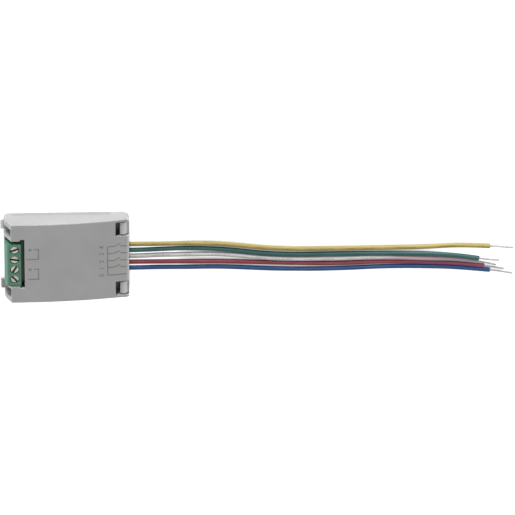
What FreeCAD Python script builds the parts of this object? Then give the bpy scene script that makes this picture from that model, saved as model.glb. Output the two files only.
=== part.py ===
import FreeCAD, Part
import math
import os
import re
import Sketcher

# Push-button interface module: a flat moulded box that fits behind a wall switch. A four-pole screw
# terminal stands in one end, and five thin leads with stripped ends come out of the other.
# Millimetres. +X runs from the terminal to the leads, +Z out of the label face. The origin is the
# middle of the underside, measured over the end lugs.

doc = FreeCAD.newDocument("PushButtonInterface")

SIZES = {
    # case
    "housing_length": 42.3,
    "housing_width": 30.8,
    "cover_height": 8.0,
    "crown_dip": 0.08,
    "crown_start": 6.3,
    "bevel_length": 2.3,
    "bevel_drop": 4.0,
    "wall": 1.2,
    "side_wall": 1.1,
    "corner_radius_terminal": 1.3,
    "corner_radius_wire": 2.3,
    "edge_radius": 0.3,
    "rim_radius": 0.5,
    "tray_floor": 0.8,
    "flange_start": 2.6,
    "flange_end": 6.7,
    "flange_height": 1.5,
    "seam": 0.08,
    "fit": 0.1,
    # end lugs and the notches above them
    "lug_reach": 1.3,
    "lug_width": 3.3,
    "lug_height": 2.0,
    "tongue_height": 1.1,
    "lug_spacing": 23.5,
    "lug_bevel": 0.4,
    "notch_depth": 2.2,
    "pocket_wall": 0.55,
    # snap arms and their windows
    "window_length": 4.6,
    "window_width": 5.0,
    "window_spacing": 23.2,
    "window_sill": 3.2,
    "arm_thickness": 1.4,
    "arm_gap": 0.5,
    "arm_side_gap": 0.5,
    "arm_height": 5.0,
    "hook_setback": 0.25,
    "hook_face": 0.55,
    # circuit board and its seats
    "standoff": 0.5,
    "board_thickness": 0.8,
    "board_gap": 0.4,
    "post_radius": 1.3,
    "post_x": 11.5,
    "post_inset": 3.8,
    "pin_radius": 0.6,
    "pin_height": 1.2,
    "rib_width": 1.2,
    "rib_reach": 1.0,
    "rib_height": 2.6,
    "rib_x": 7.0,
    # screw terminal
    "poles": 4,
    "terminal_pitch": 3.81,
    "terminal_offset": -0.55,
    "terminal_end_wall": 0.5,
    "terminal_height": 5.55,
    "terminal_top_depth": 4.55,
    "terminal_depth": 6.6,
    "terminal_front_bevel": 1.1,
    "terminal_bevel_drop": 1.3,
    "terminal_step_height": 3.0,
    "opening_gap": 0.92,
    "opening_shift": 0.5,
    "opening_length": 6.8,
    "opening_ear": 0.6,
    "opening_ear_length": 1.5,
    "opening_sill": 0.1,
    "screw_inset": 3.4,
    "head_radius": 1.4,
    "head_height": 0.6,
    "head_recess": 0.4,
    "head_clearance": 0.1,
    "well_clearance": 0.22,
    "ledge": 0.25,
    "slot_width": 0.75,
    "slot_depth": 0.5,
    "shank_radius": 1.0,
    "running_fit": 0.05,
    "cage_length": 2.9,
    "cage_width": 2.7,
    "cage_height": 2.8,
    "cage_side": 0.4,
    "cage_bottom": 0.4,
    "cage_top": 0.6,
    "cage_rest": 0.3,
    "cage_travel": 1.2,
    "cage_clearance": 0.07,
    "bar_thickness": 0.4,
    "bar_width": 1.5,
    "bar_front": 1.3,
    "leg_setback": 2.6,
    "leg_width": 0.6,
    "leg_hole_radius": 0.45,
    "entry_width": 2.0,
    "entry_flare": 0.4,
    # leads
    "lead_count": 5,
    "lead_pitch": 2.34,
    "lead_offset": -0.3,
    "lead_height": 3.0,
    "lead_radius": 0.8,
    "lead_clearance": 0.05,
    "core_radius": 0.3,
    "saddle_margin": 0.75,
    "saddle_depth": 1.0,
    "strip_back": 5.4,
    "solder_back": 7.2,
    "lead_hole_radius": 0.5,
    "tail_under": 0.32,
    "joint_radius": 0.75,
    "joint_tip_radius": 0.5,
    # board parts
    "package_lift": 0.1,
    "package_break": 0.12,
    "leg_reach": 0.9,
    "leg_rise": 0.45,
    "leg_metal": 0.15,
    "leg_breadth": 0.35,
    "leg_foot": 0.45,
    "end_band": 0.4,
    "end_swell": 0.03,
    "strap_share": 0.55,
    "lid_inset": 0.35,
    "lid_height": 0.15,
    "choke_base": 0.6,
    "choke_inset": 0.15,
}

# Board parts: length, width and height of the moulded or ceramic body
PACKAGES = {
    "microcontroller": (7.0, 7.0, 1.0),
    "transceiver": (4.9, 3.9, 1.4),
    "rectifier": (4.7, 3.9, 2.2),
    "regulator": (4.5, 2.5, 1.5),
    "tantalum": (6.0, 3.2, 2.5),
    "crystal": (5.0, 3.2, 0.9),
    "choke": (5.0, 5.0, 2.4),
    "resistor": (2.0, 1.25, 0.5),
    "capacitor": (2.0, 1.25, 0.9),
    "diode": (2.7, 1.6, 1.1),
    "transistor": (2.9, 1.3, 1.0),
}
for package, dimensions in PACKAGES.items():
    for dimension, size in zip(("length", "width", "height"), dimensions):
        SIZES[f"{package}_{dimension}"] = size

sheet = doc.addObject("Spreadsheet::Sheet", "Sizes")
for row, (name, size) in enumerate(SIZES.items(), start=1):
    sheet.set(f"A{row}", name)
    sheet.set(f"B{row}", str(size))
    sheet.setAlias(f"B{row}", name)
doc.recompute()


def bound(text):
    """The expression with the sheet's name put before each alias."""
    return re.sub(r"[a-z_]+", lambda word: f"Sizes.{word[0]}" if word[0] in SIZES else word[0], text)


def value(text):
    """What an expression of the sheet's aliases comes to."""
    return float(sheet.evalExpression(bound(text)))


# Stations that several pieces share, as expressions of the sheet's aliases
TERMINAL_END = "(lug_reach - housing_length) / 2"
WIRE_END = "(lug_reach + housing_length) / 2"
SIDE = "housing_width / 2"
CROWN_X = f"({TERMINAL_END} + crown_start)"
CROWN_DROP = "(cover_height - lead_height - lead_radius - wall + crown_dip)"
CROWN_RADIUS = f"((({WIRE_END} - {CROWN_X}) ^ 2 + {CROWN_DROP} ^ 2) / 2 / {CROWN_DROP})"
BEVEL_SLOPE = "sqrt(bevel_length ^ 2 + bevel_drop ^ 2)"
BOARD_BOTTOM = "(tray_floor + standoff)"
BOARD_TOP = f"({BOARD_BOTTOM} + board_thickness)"
BOARD_FRONT = f"({TERMINAL_END} + wall + board_gap)"
BOARD_BACK = f"({WIRE_END} - wall - arm_gap - arm_thickness - board_gap)"
BOARD_SIDE = f"({SIDE} - side_wall - board_gap)"
POST_Y = f"({SIDE} - post_inset)"
TERMINAL_BOTTOM = f"({BOARD_TOP} + seam)"
TERMINAL_TOP = f"({TERMINAL_BOTTOM} + terminal_height)"
SCREW_X = f"({TERMINAL_END} + screw_inset)"
HEAD_TOP = f"({TERMINAL_TOP} - head_recess)"
HEAD_BOTTOM = f"({HEAD_TOP} - head_height)"
CAGE_Z = f"({BOARD_TOP} + cage_rest)"
WINDOW_Z = f"({CAGE_Z} + cage_bottom)"
BAR_Z = f"({WINDOW_Z} + cage_travel + fit)"
BAR_TOP = f"({BAR_Z} + bar_thickness)"
LEG_X = f"({SCREW_X} + leg_setback - bar_thickness / 2)"
SADDLE_HALF = "((lead_count - 1) / 2 * lead_pitch + lead_radius + saddle_margin)"
TAIL_X = f"({WIRE_END} - solder_back)"
TAIL_BOTTOM = f"({BOARD_BOTTOM} - tail_under)"
BEYOND = 2


def crown(station, depth="0"):
    """Height of the label face at a station along X, or of the surface that lies depth under it."""
    along = f"({station} - {CROWN_X})"
    return f"(cover_height - {CROWN_RADIUS} + sqrt(({CROWN_RADIUS} - {depth}) ^ 2 - {along} ^ 2))"


def pole_y(pole):
    return f"(terminal_offset + ({pole} - (poles - 1) / 2) * terminal_pitch)"


def lead_y(lead):
    return f"(lead_offset + ((lead_count - 1) / 2 - {lead}) * lead_pitch)"


nodes = []


def new_body(label):
    body = doc.addObject("PartDesign::Body", label)
    body.Label = label
    return body


def keep(piece):
    """Marks a finished sub-part, which gets a file of its own."""
    nodes.append(piece)
    return piece


def new_sketch(body, name, plane, offset=None):
    """A sketch on one of the body's own origin planes, moved along the plane's normal by offset."""
    sketch = body.newObject("Sketcher::SketchObject", name)
    sketch.AttachmentSupport = [next(f for f in body.Origin.OriginFeatures if f.Role == plane)]
    sketch.MapMode = "FlatFace"
    if offset:
        sketch.setExpression("AttachmentOffset.Base.z", bound(offset))
    return sketch


def pin_point(sketch, geometry, position, x, y):
    """Binds a point's distances from the sketch's origin to two expressions."""
    for kind, text in (("DistanceX", x), ("DistanceY", y)):
        index = sketch.addConstraint(Sketcher.Constraint(kind, -1, 1, geometry, position, value(text)))
        sketch.setExpression(f"Constraints[{index}]", bound(text))


def chain(sketch, corners, closed):
    """Lines and arcs from corner to corner (x, y). A third entry is the radius of the arc that leads
    there, bulging to the left of the way along."""
    points = [FreeCAD.Vector(value(corner[0]), value(corner[1]), 0) for corner in corners]
    steps = range(0 if closed else 1, len(corners))
    ends = []
    for index in steps:
        corner, start, end = corners[index], points[index - 1], points[index]
        if len(corner) == 2:
            geometry = sketch.addGeometry(Part.LineSegment(start, end))
        else:
            radius = value(corner[2])
            run = end - start
            rise = radius - math.sqrt(radius ** 2 - run.Length ** 2 / 4)
            left = FreeCAD.Vector(-run.y, run.x, 0).normalize()
            geometry = sketch.addGeometry(Part.Arc(start, (start + end) / 2 + left * rise, end))
            bend = sketch.addConstraint(Sketcher.Constraint("Radius", geometry, radius))
            sketch.setExpression(f"Constraints[{bend}]", bound(corner[2]))
        first = sketch.getPoint(geometry, 1).distanceToPoint(start) < 1e-6
        ends.append((geometry, 1 if first else 2, 2 if first else 1))
    if not closed:
        pin_point(sketch, ends[0][0], ends[0][1], *corners[0])
    for index, (geometry, _, end) in zip(steps, ends):
        pin_point(sketch, geometry, end, *corners[index][:2])
        if closed or index < len(corners) - 1:
            following, next_start, _ = ends[(index + 1 - steps[0]) % len(ends)]
            sketch.addConstraint(Sketcher.Constraint("Coincident", geometry, end, following, next_start))


def outline(sketch, *corners):
    chain(sketch, corners, True)


def path(sketch, *corners):
    chain(sketch, corners, False)


def box_outline(sketch, low_x, high_x, low_y, high_y):
    outline(sketch, (low_x, low_y), (high_x, low_y), (high_x, high_y), (low_x, high_y))


def circle(sketch, x, y, radius):
    centre = FreeCAD.Vector(value(x), value(y), 0)
    geometry = sketch.addGeometry(Part.Circle(centre, FreeCAD.Vector(0, 0, 1), value(radius)))
    pin_point(sketch, geometry, 3, x, y)
    size = sketch.addConstraint(Sketcher.Constraint("Radius", geometry, value(radius)))
    sketch.setExpression(f"Constraints[{size}]", bound(radius))


def add(body, kind, name, **settings):
    """A PartDesign feature at the body's tip. Text values are expressions, the rest are plain settings."""
    feature = body.newObject(f"PartDesign::{kind}", name)
    for key, setting in settings.items():
        if key in ("Length", "Size", "Radius", "Angle"):
            feature.setExpression(key, bound(setting))
        else:
            setattr(feature, key, setting)
    body.Tip = feature
    doc.recompute()
    return feature


def pad(body, sketch, length, **settings):
    return add(body, "Pad", f"{sketch.Name}_pad", Profile=sketch, Length=length, **settings)


def cut(body, sketch, length, **settings):
    return add(body, "Pocket", f"{sketch.Name}_cut", Profile=sketch, Length=length, **settings)


def mirror(body, feature, plane):
    """The same feature on the other side of one of the body's origin planes."""
    across = next(f for f in body.Origin.OriginFeatures if f.Role == plane)
    return add(body, "Mirrored", f"{feature.Name}_mirror", Originals=[feature], MirrorPlane=(across, [""]))


def edges_where(feature, test):
    """Names of the feature's edges whose box passes the test."""
    return [f"Edge{i}" for i, edge in enumerate(feature.Shape.Edges, start=1) if test(edge.BoundBox)]


def near(number, text):
    return abs(number - value(text)) < 1e-4


def build_cover():
    """Moulded shell: a side profile padded across the width, hollowed from below, with its openings."""
    body = new_body("top_cover")
    profile = new_sketch(body, "cover_profile", "XZ_Plane")
    outline(
        profile,
        (TERMINAL_END, "0"),
        (TERMINAL_END, "cover_height - bevel_drop"),
        (f"{TERMINAL_END} + bevel_length", "cover_height"),
        (CROWN_X, "cover_height"),
        (WIRE_END, crown(WIRE_END), CROWN_RADIUS),
        (WIRE_END, "0"),
    )
    block = pad(body, profile, "housing_width", SideType="Symmetric")

    # the rim over the bevel is softly rounded, the label face's other edges are only just broken
    rim = edges_where(
        block,
        lambda box: near(box.XMax, f"{TERMINAL_END} + bevel_length") and near(box.ZMax, "cover_height")
        and box.XLength < 1e-4 and box.YLength > 1,
    )
    soft = add(body, "Fillet", "bevel_rim", Base=(block, rim), Radius="rim_radius")
    label_edges = edges_where(
        soft,
        lambda box: (box.YLength < 1e-4 and box.ZMax > value(crown(WIRE_END)) - 1e-3 and box.XLength > 1)
        or (near(box.XMin, WIRE_END) and near(box.ZMin, crown(WIRE_END)) and box.YLength > 1),
    )
    add(body, "Fillet", "label_edges", Base=(soft, label_edges), Radius="edge_radius")

    # the plan's corners are rounded right through, so the bevel thins the round away
    frame = new_sketch(body, "cover_plan", "XY_Plane")
    far = f"({SIDE} + {BEYOND})"
    box_outline(frame, f"{TERMINAL_END} - {BEYOND}", f"{WIRE_END} + {BEYOND}", f"-{far}", far)
    small, large = "corner_radius_terminal", "corner_radius_wire"
    outline(
        frame,
        (TERMINAL_END, f"-({SIDE} - {small})", small),
        (TERMINAL_END, f"{SIDE} - {small}"),
        (f"{TERMINAL_END} + {small}", SIDE, small),
        (f"{WIRE_END} - {large}", SIDE),
        (WIRE_END, f"{SIDE} - {large}", large),
        (WIRE_END, f"-({SIDE} - {large})"),
        (f"{WIRE_END} - {large}", f"-{SIDE}", large),
        (f"{TERMINAL_END} + {small}", f"-{SIDE}"),
    )
    cut(body, frame, f"cover_height + {BEYOND}", Reversed=True)

    hollow = new_sketch(body, "cover_hollow", "XZ_Plane")
    outline(
        hollow,
        (f"{TERMINAL_END} + wall", f"-{BEYOND}"),
        (
            f"{TERMINAL_END} + wall",
            f"cover_height - bevel_drop - wall * ({BEVEL_SLOPE} - bevel_drop) / bevel_length",
        ),
        (f"{TERMINAL_END} + bevel_length + wall * ({BEVEL_SLOPE} - bevel_length) / bevel_drop", "cover_height - wall"),
        (CROWN_X, "cover_height - wall"),
        (f"{WIRE_END} - wall", crown(f"({WIRE_END} - wall)", "wall"), f"{CROWN_RADIUS} - wall"),
        (f"{WIRE_END} - wall", f"-{BEYOND}"),
    )
    cut(body, hollow, "housing_width - 2 * side_wall", SideType="Symmetric")

    # closed pockets over the tray's lugs: thick walls first, the notch is cut down through them
    pocket = new_sketch(body, "lug_pocket", "XZ_Plane", f"-({SIDE} - side_wall / 2)")
    pocket_back = f"{TERMINAL_END} + notch_depth + pocket_wall"
    outline(
        pocket,
        (f"{TERMINAL_END} + wall / 2", f"{BOARD_TOP} + seam"),
        (f"{TERMINAL_END} + wall / 2", "cover_height - bevel_drop"),
        (f"{TERMINAL_END} + bevel_length", "cover_height - wall / 2"),
        (pocket_back, "cover_height - wall / 2"),
        (pocket_back, f"{BOARD_TOP} + seam"),
    )
    pocket_side = "(lug_spacing / 2 - lug_width / 2 - fit - pocket_wall)"
    mirror(body, pad(body, pocket, f"{SIDE} - side_wall / 2 - {pocket_side}"), "XZ_Plane")

    # the tray's side flanges lie flush in these steps of the long walls
    steps = new_sketch(body, "flange_steps", "XY_Plane")
    box_outline(
        steps,
        f"{TERMINAL_END} + flange_start",
        f"{WIRE_END} - flange_end",
        f"{SIDE} - side_wall - fit",
        f"{SIDE} + {BEYOND}",
    )
    mirror(body, cut(body, steps, "flange_height + seam", Reversed=True), "XZ_Plane")

    # the terminal's opening runs out over the bevel and ends in two square ears; the terminal lies
    # a little to one side in it
    opening = new_sketch(body, "terminal_opening", "XY_Plane", f"{BOARD_TOP} - opening_sill")
    half = "(poles * terminal_pitch / 2 + terminal_end_wall + opening_gap)"
    low = f"(terminal_offset + opening_shift - {half})"
    high = f"(terminal_offset + opening_shift + {half})"
    end = f"({TERMINAL_END} + opening_length)"
    outline(
        opening,
        (f"{TERMINAL_END} - {BEYOND}", low),
        (f"{end} - opening_ear_length", low),
        (f"{end} - opening_ear_length", f"{low} - opening_ear"),
        (end, f"{low} - opening_ear"),
        (end, f"{high} + opening_ear"),
        (f"{end} - opening_ear_length", f"{high} + opening_ear"),
        (f"{end} - opening_ear_length", high),
        (f"{TERMINAL_END} - {BEYOND}", high),
    )
    cut(body, opening, f"cover_height + {BEYOND}", Reversed=True)

    notch = new_sketch(body, "lug_notch", "XY_Plane")
    box_outline(
        notch,
        f"{TERMINAL_END} - {BEYOND}",
        f"{TERMINAL_END} + notch_depth",
        "lug_spacing / 2 - lug_width / 2 - fit",
        "lug_spacing / 2 + lug_width / 2 + fit",
    )
    mirror(body, cut(body, notch, f"cover_height + {BEYOND}", Reversed=True), "XZ_Plane")

    window = new_sketch(body, "snap_window", "XY_Plane", "window_sill")
    box_outline(
        window,
        f"{WIRE_END} - window_length",
        f"{WIRE_END} + {BEYOND}",
        "window_spacing / 2 - window_width / 2",
        "window_spacing / 2 + window_width / 2",
    )
    mirror(body, cut(body, window, "cover_height", Reversed=True), "XZ_Plane")

    # the end wall stops at the leads' middle, where half holes take the upper half of each lead
    gate = new_sketch(body, "saddle_gate", "YZ_Plane", WIRE_END)
    box_outline(gate, f"lead_offset - {SADDLE_HALF}", f"lead_offset + {SADDLE_HALF}", f"-{BEYOND}", "lead_height")
    cut(body, gate, "wall + fit")
    holes = new_sketch(body, "lead_holes", "YZ_Plane", WIRE_END)
    for lead in range(SIZES["lead_count"]):
        circle(holes, lead_y(lead), "lead_height", "lead_radius + lead_clearance")
    cut(body, holes, "wall + fit")

    # four ribs on the long walls hold the board down on its posts
    ribs = new_sketch(body, "hold_down_ribs", "XY_Plane", f"{BOARD_TOP} + seam")
    for sign in ("-", ""):
        box_outline(
            ribs,
            f"{sign}rib_x - rib_width / 2",
            f"{sign}rib_x + rib_width / 2",
            f"{SIDE} - side_wall - rib_reach",
            f"{SIDE} - side_wall / 2",
        )
    mirror(body, pad(body, ribs, "rib_height"), "XZ_Plane")
    return keep(body)


def build_tray():
    """Flat base with side flanges, end lugs, snap arms, board posts and the lower half of the lead comb."""
    body = new_body("base_tray")
    floor = new_sketch(body, "tray_floor_plan", "XY_Plane")
    front = f"{TERMINAL_END} + wall + fit"
    back = f"{WIRE_END} - wall - fit"
    step_front = f"{TERMINAL_END} + flange_start + running_fit"
    step_back = f"{WIRE_END} - flange_end - running_fit"
    inner = f"({SIDE} - side_wall - fit)"
    outline(
        floor,
        (front, f"-{inner}"),
        (step_front, f"-{inner}"),
        (step_front, f"-{SIDE}"),
        (step_back, f"-{SIDE}"),
        (step_back, f"-{inner}"),
        (back, f"-{inner}"),
        (back, inner),
        (step_back, inner),
        (step_back, SIDE),
        (step_front, SIDE),
        (step_front, inner),
        (front, inner),
    )
    pad(body, floor, "tray_floor")

    flange = new_sketch(body, "side_flange", "XY_Plane")
    box_outline(flange, step_front, step_back, inner, SIDE)
    mirror(body, pad(body, flange, "flange_height"), "XZ_Plane")

    lug = new_sketch(body, "end_lug", "XZ_Plane", "-(lug_spacing / 2 + lug_width / 2)")
    outline(
        lug,
        (f"{TERMINAL_END} - lug_reach", "0"),
        (f"{TERMINAL_END} - lug_reach", "tongue_height - lug_bevel"),
        (f"{TERMINAL_END} - lug_reach + lug_bevel", "tongue_height"),
        (f"{TERMINAL_END} + lug_bevel", "tongue_height"),
        (f"{TERMINAL_END} + lug_bevel", "lug_height"),
        (f"{TERMINAL_END} + notch_depth", "lug_height"),
        (f"{TERMINAL_END} + notch_depth", "0"),
    )
    mirror(body, pad(body, lug, "lug_width"), "XZ_Plane")

    # each arm stands clear of the end wall, and its hook's nose lies over the window's sill
    arm_out = f"({WIRE_END} - wall - arm_gap)"
    tip = f"({WIRE_END} - hook_setback)"
    hook_z = "(window_sill + seam)"
    arm = new_sketch(body, "snap_arm", "XZ_Plane", "-(window_spacing / 2 + window_width / 2 - arm_side_gap)")
    outline(
        arm,
        (f"{arm_out} - arm_thickness", "0"),
        (f"{arm_out} - arm_thickness", "arm_height"),
        (arm_out, "arm_height"),
        (tip, f"{hook_z} + hook_face"),
        (tip, hook_z),
        (arm_out, hook_z),
        (arm_out, "0"),
    )
    mirror(body, pad(body, arm, "window_width - 2 * arm_side_gap"), "XZ_Plane")

    posts = new_sketch(body, "board_posts", "XY_Plane")
    pins = new_sketch(body, "board_pins", "XY_Plane")
    for sign_x, sign_y in (("-", "-"), ("-", ""), ("", "-"), ("", "")):
        circle(posts, f"{sign_x}post_x", f"{sign_y}{POST_Y}", "post_radius")
        if sign_x == sign_y:
            circle(pins, f"{sign_x}post_x", f"{sign_y}{POST_Y}", "pin_radius")
    pad(body, posts, BOARD_BOTTOM)
    pad(body, pins, f"{BOARD_BOTTOM} + pin_height")

    saddle = new_sketch(body, "lead_saddle", "YZ_Plane", WIRE_END)
    half = f"({SADDLE_HALF} - fit)"
    box_outline(saddle, f"lead_offset - {half}", f"lead_offset + {half}", "0", "lead_height")
    pad(body, saddle, "wall + saddle_depth", Reversed=True)
    seats = new_sketch(body, "lead_seats", "YZ_Plane", WIRE_END)
    for lead in range(SIZES["lead_count"]):
        circle(seats, lead_y(lead), "lead_height", "lead_radius + lead_clearance")
    cut(body, seats, "wall + saddle_depth")
    return keep(body)


def build_board():
    """Printed board: its front corners step back behind the lugs, and it is drilled for pins and leads."""
    body = new_body("circuit_board")
    plan = new_sketch(body, "board_plan", "XY_Plane", BOARD_BOTTOM)
    step_x = f"({TERMINAL_END} + notch_depth + board_gap)"
    step_y = "(lug_spacing / 2 - lug_width / 2 - board_gap)"
    outline(
        plan,
        (BOARD_FRONT, f"-{step_y}"),
        (BOARD_FRONT, step_y),
        (step_x, step_y),
        (step_x, BOARD_SIDE),
        (BOARD_BACK, BOARD_SIDE),
        (BOARD_BACK, f"-{BOARD_SIDE}"),
        (step_x, f"-{BOARD_SIDE}"),
        (step_x, f"-{step_y}"),
    )
    for sign in ("-", ""):
        circle(plan, f"{sign}post_x", f"{sign}{POST_Y}", "pin_radius + fit")
    for pole in range(SIZES["poles"]):
        circle(plan, LEG_X, pole_y(pole), "leg_hole_radius")
    for lead in range(SIZES["lead_count"]):
        circle(plan, TAIL_X, lead_y(lead), "lead_hole_radius")
    pad(body, plan, "board_thickness")
    return keep(body)


def build_terminal_body():
    """Green block: bevelled front, a lower step behind, and a well, a cage shaft and a wire entry a pole."""
    body = new_body("terminal_body")
    profile = new_sketch(body, "terminal_profile", "XZ_Plane")
    front = TERMINAL_END
    top_back = f"{TERMINAL_END} + terminal_front_bevel + terminal_top_depth"
    outline(
        profile,
        (front, TERMINAL_BOTTOM),
        (front, f"{TERMINAL_TOP} - terminal_bevel_drop"),
        (f"{front} + terminal_front_bevel", TERMINAL_TOP),
        (top_back, TERMINAL_TOP),
        (top_back, f"{TERMINAL_BOTTOM} + terminal_step_height"),
        (f"{front} + terminal_depth", f"{TERMINAL_BOTTOM} + terminal_step_height"),
        (f"{front} + terminal_depth", TERMINAL_BOTTOM),
    )
    block = pad(body, profile, "poles * terminal_pitch + 2 * terminal_end_wall", SideType="Symmetric")
    add(body, "Chamfer", "terminal_edge_break", Size="edge_radius / 2", Base=(block, edges_where(
        block, lambda box: near(box.ZMin, TERMINAL_TOP) and box.YLength > 1)))
    body.setExpression("Placement.Base.y", bound("terminal_offset"))
    doc.recompute()

    def local_y(pole):
        return f"({pole_y(pole)} - terminal_offset)"

    shafts = new_sketch(body, "cage_shafts", "XY_Plane", TERMINAL_BOTTOM)
    legs = new_sketch(body, "bar_slots", "XY_Plane", TERMINAL_BOTTOM)
    wells = new_sketch(body, "screw_wells", "XY_Plane", TERMINAL_TOP)
    holes = new_sketch(body, "shank_holes", "XY_Plane", TERMINAL_TOP)
    entries = new_sketch(body, "wire_entries", "YZ_Plane", TERMINAL_END)
    half_length = "(cage_length / 2 + cage_clearance)"
    half_width = "(cage_width / 2 + cage_clearance)"
    for pole in range(SIZES["poles"]):
        middle = local_y(pole)
        box_outline(
            shafts,
            f"{SCREW_X} - {half_length}",
            f"{SCREW_X} + {half_length}",
            f"{middle} - {half_width}",
            f"{middle} + {half_width}",
        )
        box_outline(
            legs,
            SCREW_X,
            f"{SCREW_X} + leg_setback + running_fit",
            f"{middle} - bar_width / 2 - running_fit",
            f"{middle} + bar_width / 2 + running_fit",
        )
        circle(wells, SCREW_X, middle, "head_radius + well_clearance")
        circle(holes, SCREW_X, middle, "shank_radius + head_clearance")
        box_outline(entries, f"{middle} - entry_width / 2", f"{middle} + entry_width / 2", WINDOW_Z, BAR_Z)
    cut(body, wells, f"terminal_height - ({HEAD_BOTTOM} - running_fit - {TERMINAL_BOTTOM})")
    cut(body, holes, "terminal_height")
    cut(body, shafts, f"{HEAD_BOTTOM} - running_fit - ledge - {TERMINAL_BOTTOM}", Reversed=True)
    cut(body, legs, f"{BAR_TOP} + running_fit - {TERMINAL_BOTTOM}", Reversed=True)
    opened = cut(body, entries, f"{SCREW_X} - {TERMINAL_END}", Reversed=True)
    flare = edges_where(
        opened,
        lambda box: near(box.XMin, TERMINAL_END) and box.XLength < 1e-6 and box.ZMin > value(WINDOW_Z) - 1e-3
        and box.ZMax < value(BAR_Z) + 1e-3,
    )
    add(body, "Chamfer", "entry_flares", Base=(opened, flare), Size="entry_flare")
    return keep(body)


def build_screw(pole, slot_angle):
    """Slotted clamp screw. It is turned as one piece, so its placement also sets where its slot points."""
    body = new_body(f"terminal_screw_{pole + 1}")
    half = new_sketch(body, f"screw_half_{pole + 1}", "XZ_Plane")
    tip = f"({BAR_TOP} + running_fit)"
    outline(
        half,
        ("0", tip),
        ("0", HEAD_TOP),
        ("head_radius - head_clearance", HEAD_TOP),
        ("head_radius", f"{HEAD_TOP} - head_clearance"),
        ("head_radius", HEAD_BOTTOM),
        ("shank_radius", HEAD_BOTTOM),
        ("shank_radius", f"{tip} + shank_radius / 4"),
        ("shank_radius * 3 / 4", tip),
    )
    axis = next(f for f in body.Origin.OriginFeatures if f.Role == "Z_Axis")
    add(body, "Revolution", f"screw_turned_{pole + 1}", Profile=half, ReferenceAxis=(axis, [""]), Angle="360")
    slot = new_sketch(body, f"screw_slot_{pole + 1}", "XY_Plane", HEAD_TOP)
    box_outline(slot, f"-head_radius - {BEYOND}", f"head_radius + {BEYOND}", "-slot_width / 2", "slot_width / 2")
    cut(body, slot, "slot_depth")
    body.Placement.Rotation = FreeCAD.Rotation(FreeCAD.Vector(0, 0, 1), slot_angle)
    body.setExpression("Placement.Base.x", bound(SCREW_X))
    body.setExpression("Placement.Base.y", bound(pole_y(pole)))
    return keep(body)


def build_cage(pole):
    """Rising clamp: a closed band round the wire's space, with the threaded wall on top."""
    body = new_body(f"terminal_cage_{pole + 1}")
    plan = new_sketch(body, f"cage_plan_{pole + 1}", "XY_Plane", CAGE_Z)
    box_outline(plan, "-cage_length / 2", "cage_length / 2", "-cage_width / 2", "cage_width / 2")
    circle(plan, "0", "0", "shank_radius + running_fit")
    pad(body, plan, "cage_height")
    # the bottom wall is whole under the threaded hole
    sole = new_sketch(body, f"cage_sole_{pole + 1}", "XY_Plane", CAGE_Z)
    box_outline(sole, "-cage_length / 2", "cage_length / 2", "-cage_width / 2", "cage_width / 2")
    pad(body, sole, "cage_bottom")
    window = new_sketch(body, f"cage_window_{pole + 1}", "YZ_Plane", f"-cage_length / 2 - {BEYOND}")
    side = "(cage_width / 2 - cage_side)"
    box_outline(window, f"-{side}", side, WINDOW_Z, f"{CAGE_Z} + cage_height - cage_top")
    cut(body, window, f"cage_length + 2 * {BEYOND}", Reversed=True)
    body.setExpression("Placement.Base.x", bound(SCREW_X))
    body.setExpression("Placement.Base.y", bound(pole_y(pole)))
    return keep(body)


def build_contact(pole):
    """Bent current bar: it lies in the cage's window, and its narrow leg is soldered in the board."""
    body = new_body(f"terminal_contact_{pole + 1}")
    bend = new_sketch(body, f"bar_profile_{pole + 1}", "XZ_Plane")
    leg_out = f"({LEG_X} + bar_thickness / 2)"
    outline(
        bend,
        (f"{SCREW_X} - bar_front", BAR_Z),
        (f"{SCREW_X} - bar_front", BAR_TOP),
        (leg_out, BAR_TOP),
        (leg_out, TERMINAL_BOTTOM),
        (f"{leg_out} - bar_thickness", TERMINAL_BOTTOM),
        (f"{leg_out} - bar_thickness", BAR_Z),
    )
    pad(body, bend, "bar_width", SideType="Symmetric")
    leg = new_sketch(body, f"bar_leg_{pole + 1}", "XY_Plane", TAIL_BOTTOM)
    box_outline(leg, f"{leg_out} - bar_thickness", leg_out, "-leg_width / 2", "leg_width / 2")
    pad(body, leg, f"{TERMINAL_BOTTOM} + bar_thickness - {TAIL_BOTTOM}")
    body.setExpression("Placement.Base.y", bound(pole_y(pole)))
    return keep(body)


def group(label, members):
    """Several like solids under one name."""
    compound = doc.addObject("Part::Compound", label)
    compound.Label = label
    compound.Links = members
    return keep(compound)


def primitive(kind, name, place, **sizes):
    """A Part primitive with its sizes and its place bound to the sheet."""
    solid = doc.addObject(f"Part::{kind}", name)
    for key, text in sizes.items():
        solid.setExpression(key, bound(text))
    for axis, text in zip("xyz", place):
        solid.setExpression(f"Placement.Base.{axis}", bound(text))
    return solid


# turns a primitive's own +Z to the frame's +X
ALONG_X = FreeCAD.Rotation(FreeCAD.Vector(0, 1, 0), 90)


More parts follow.
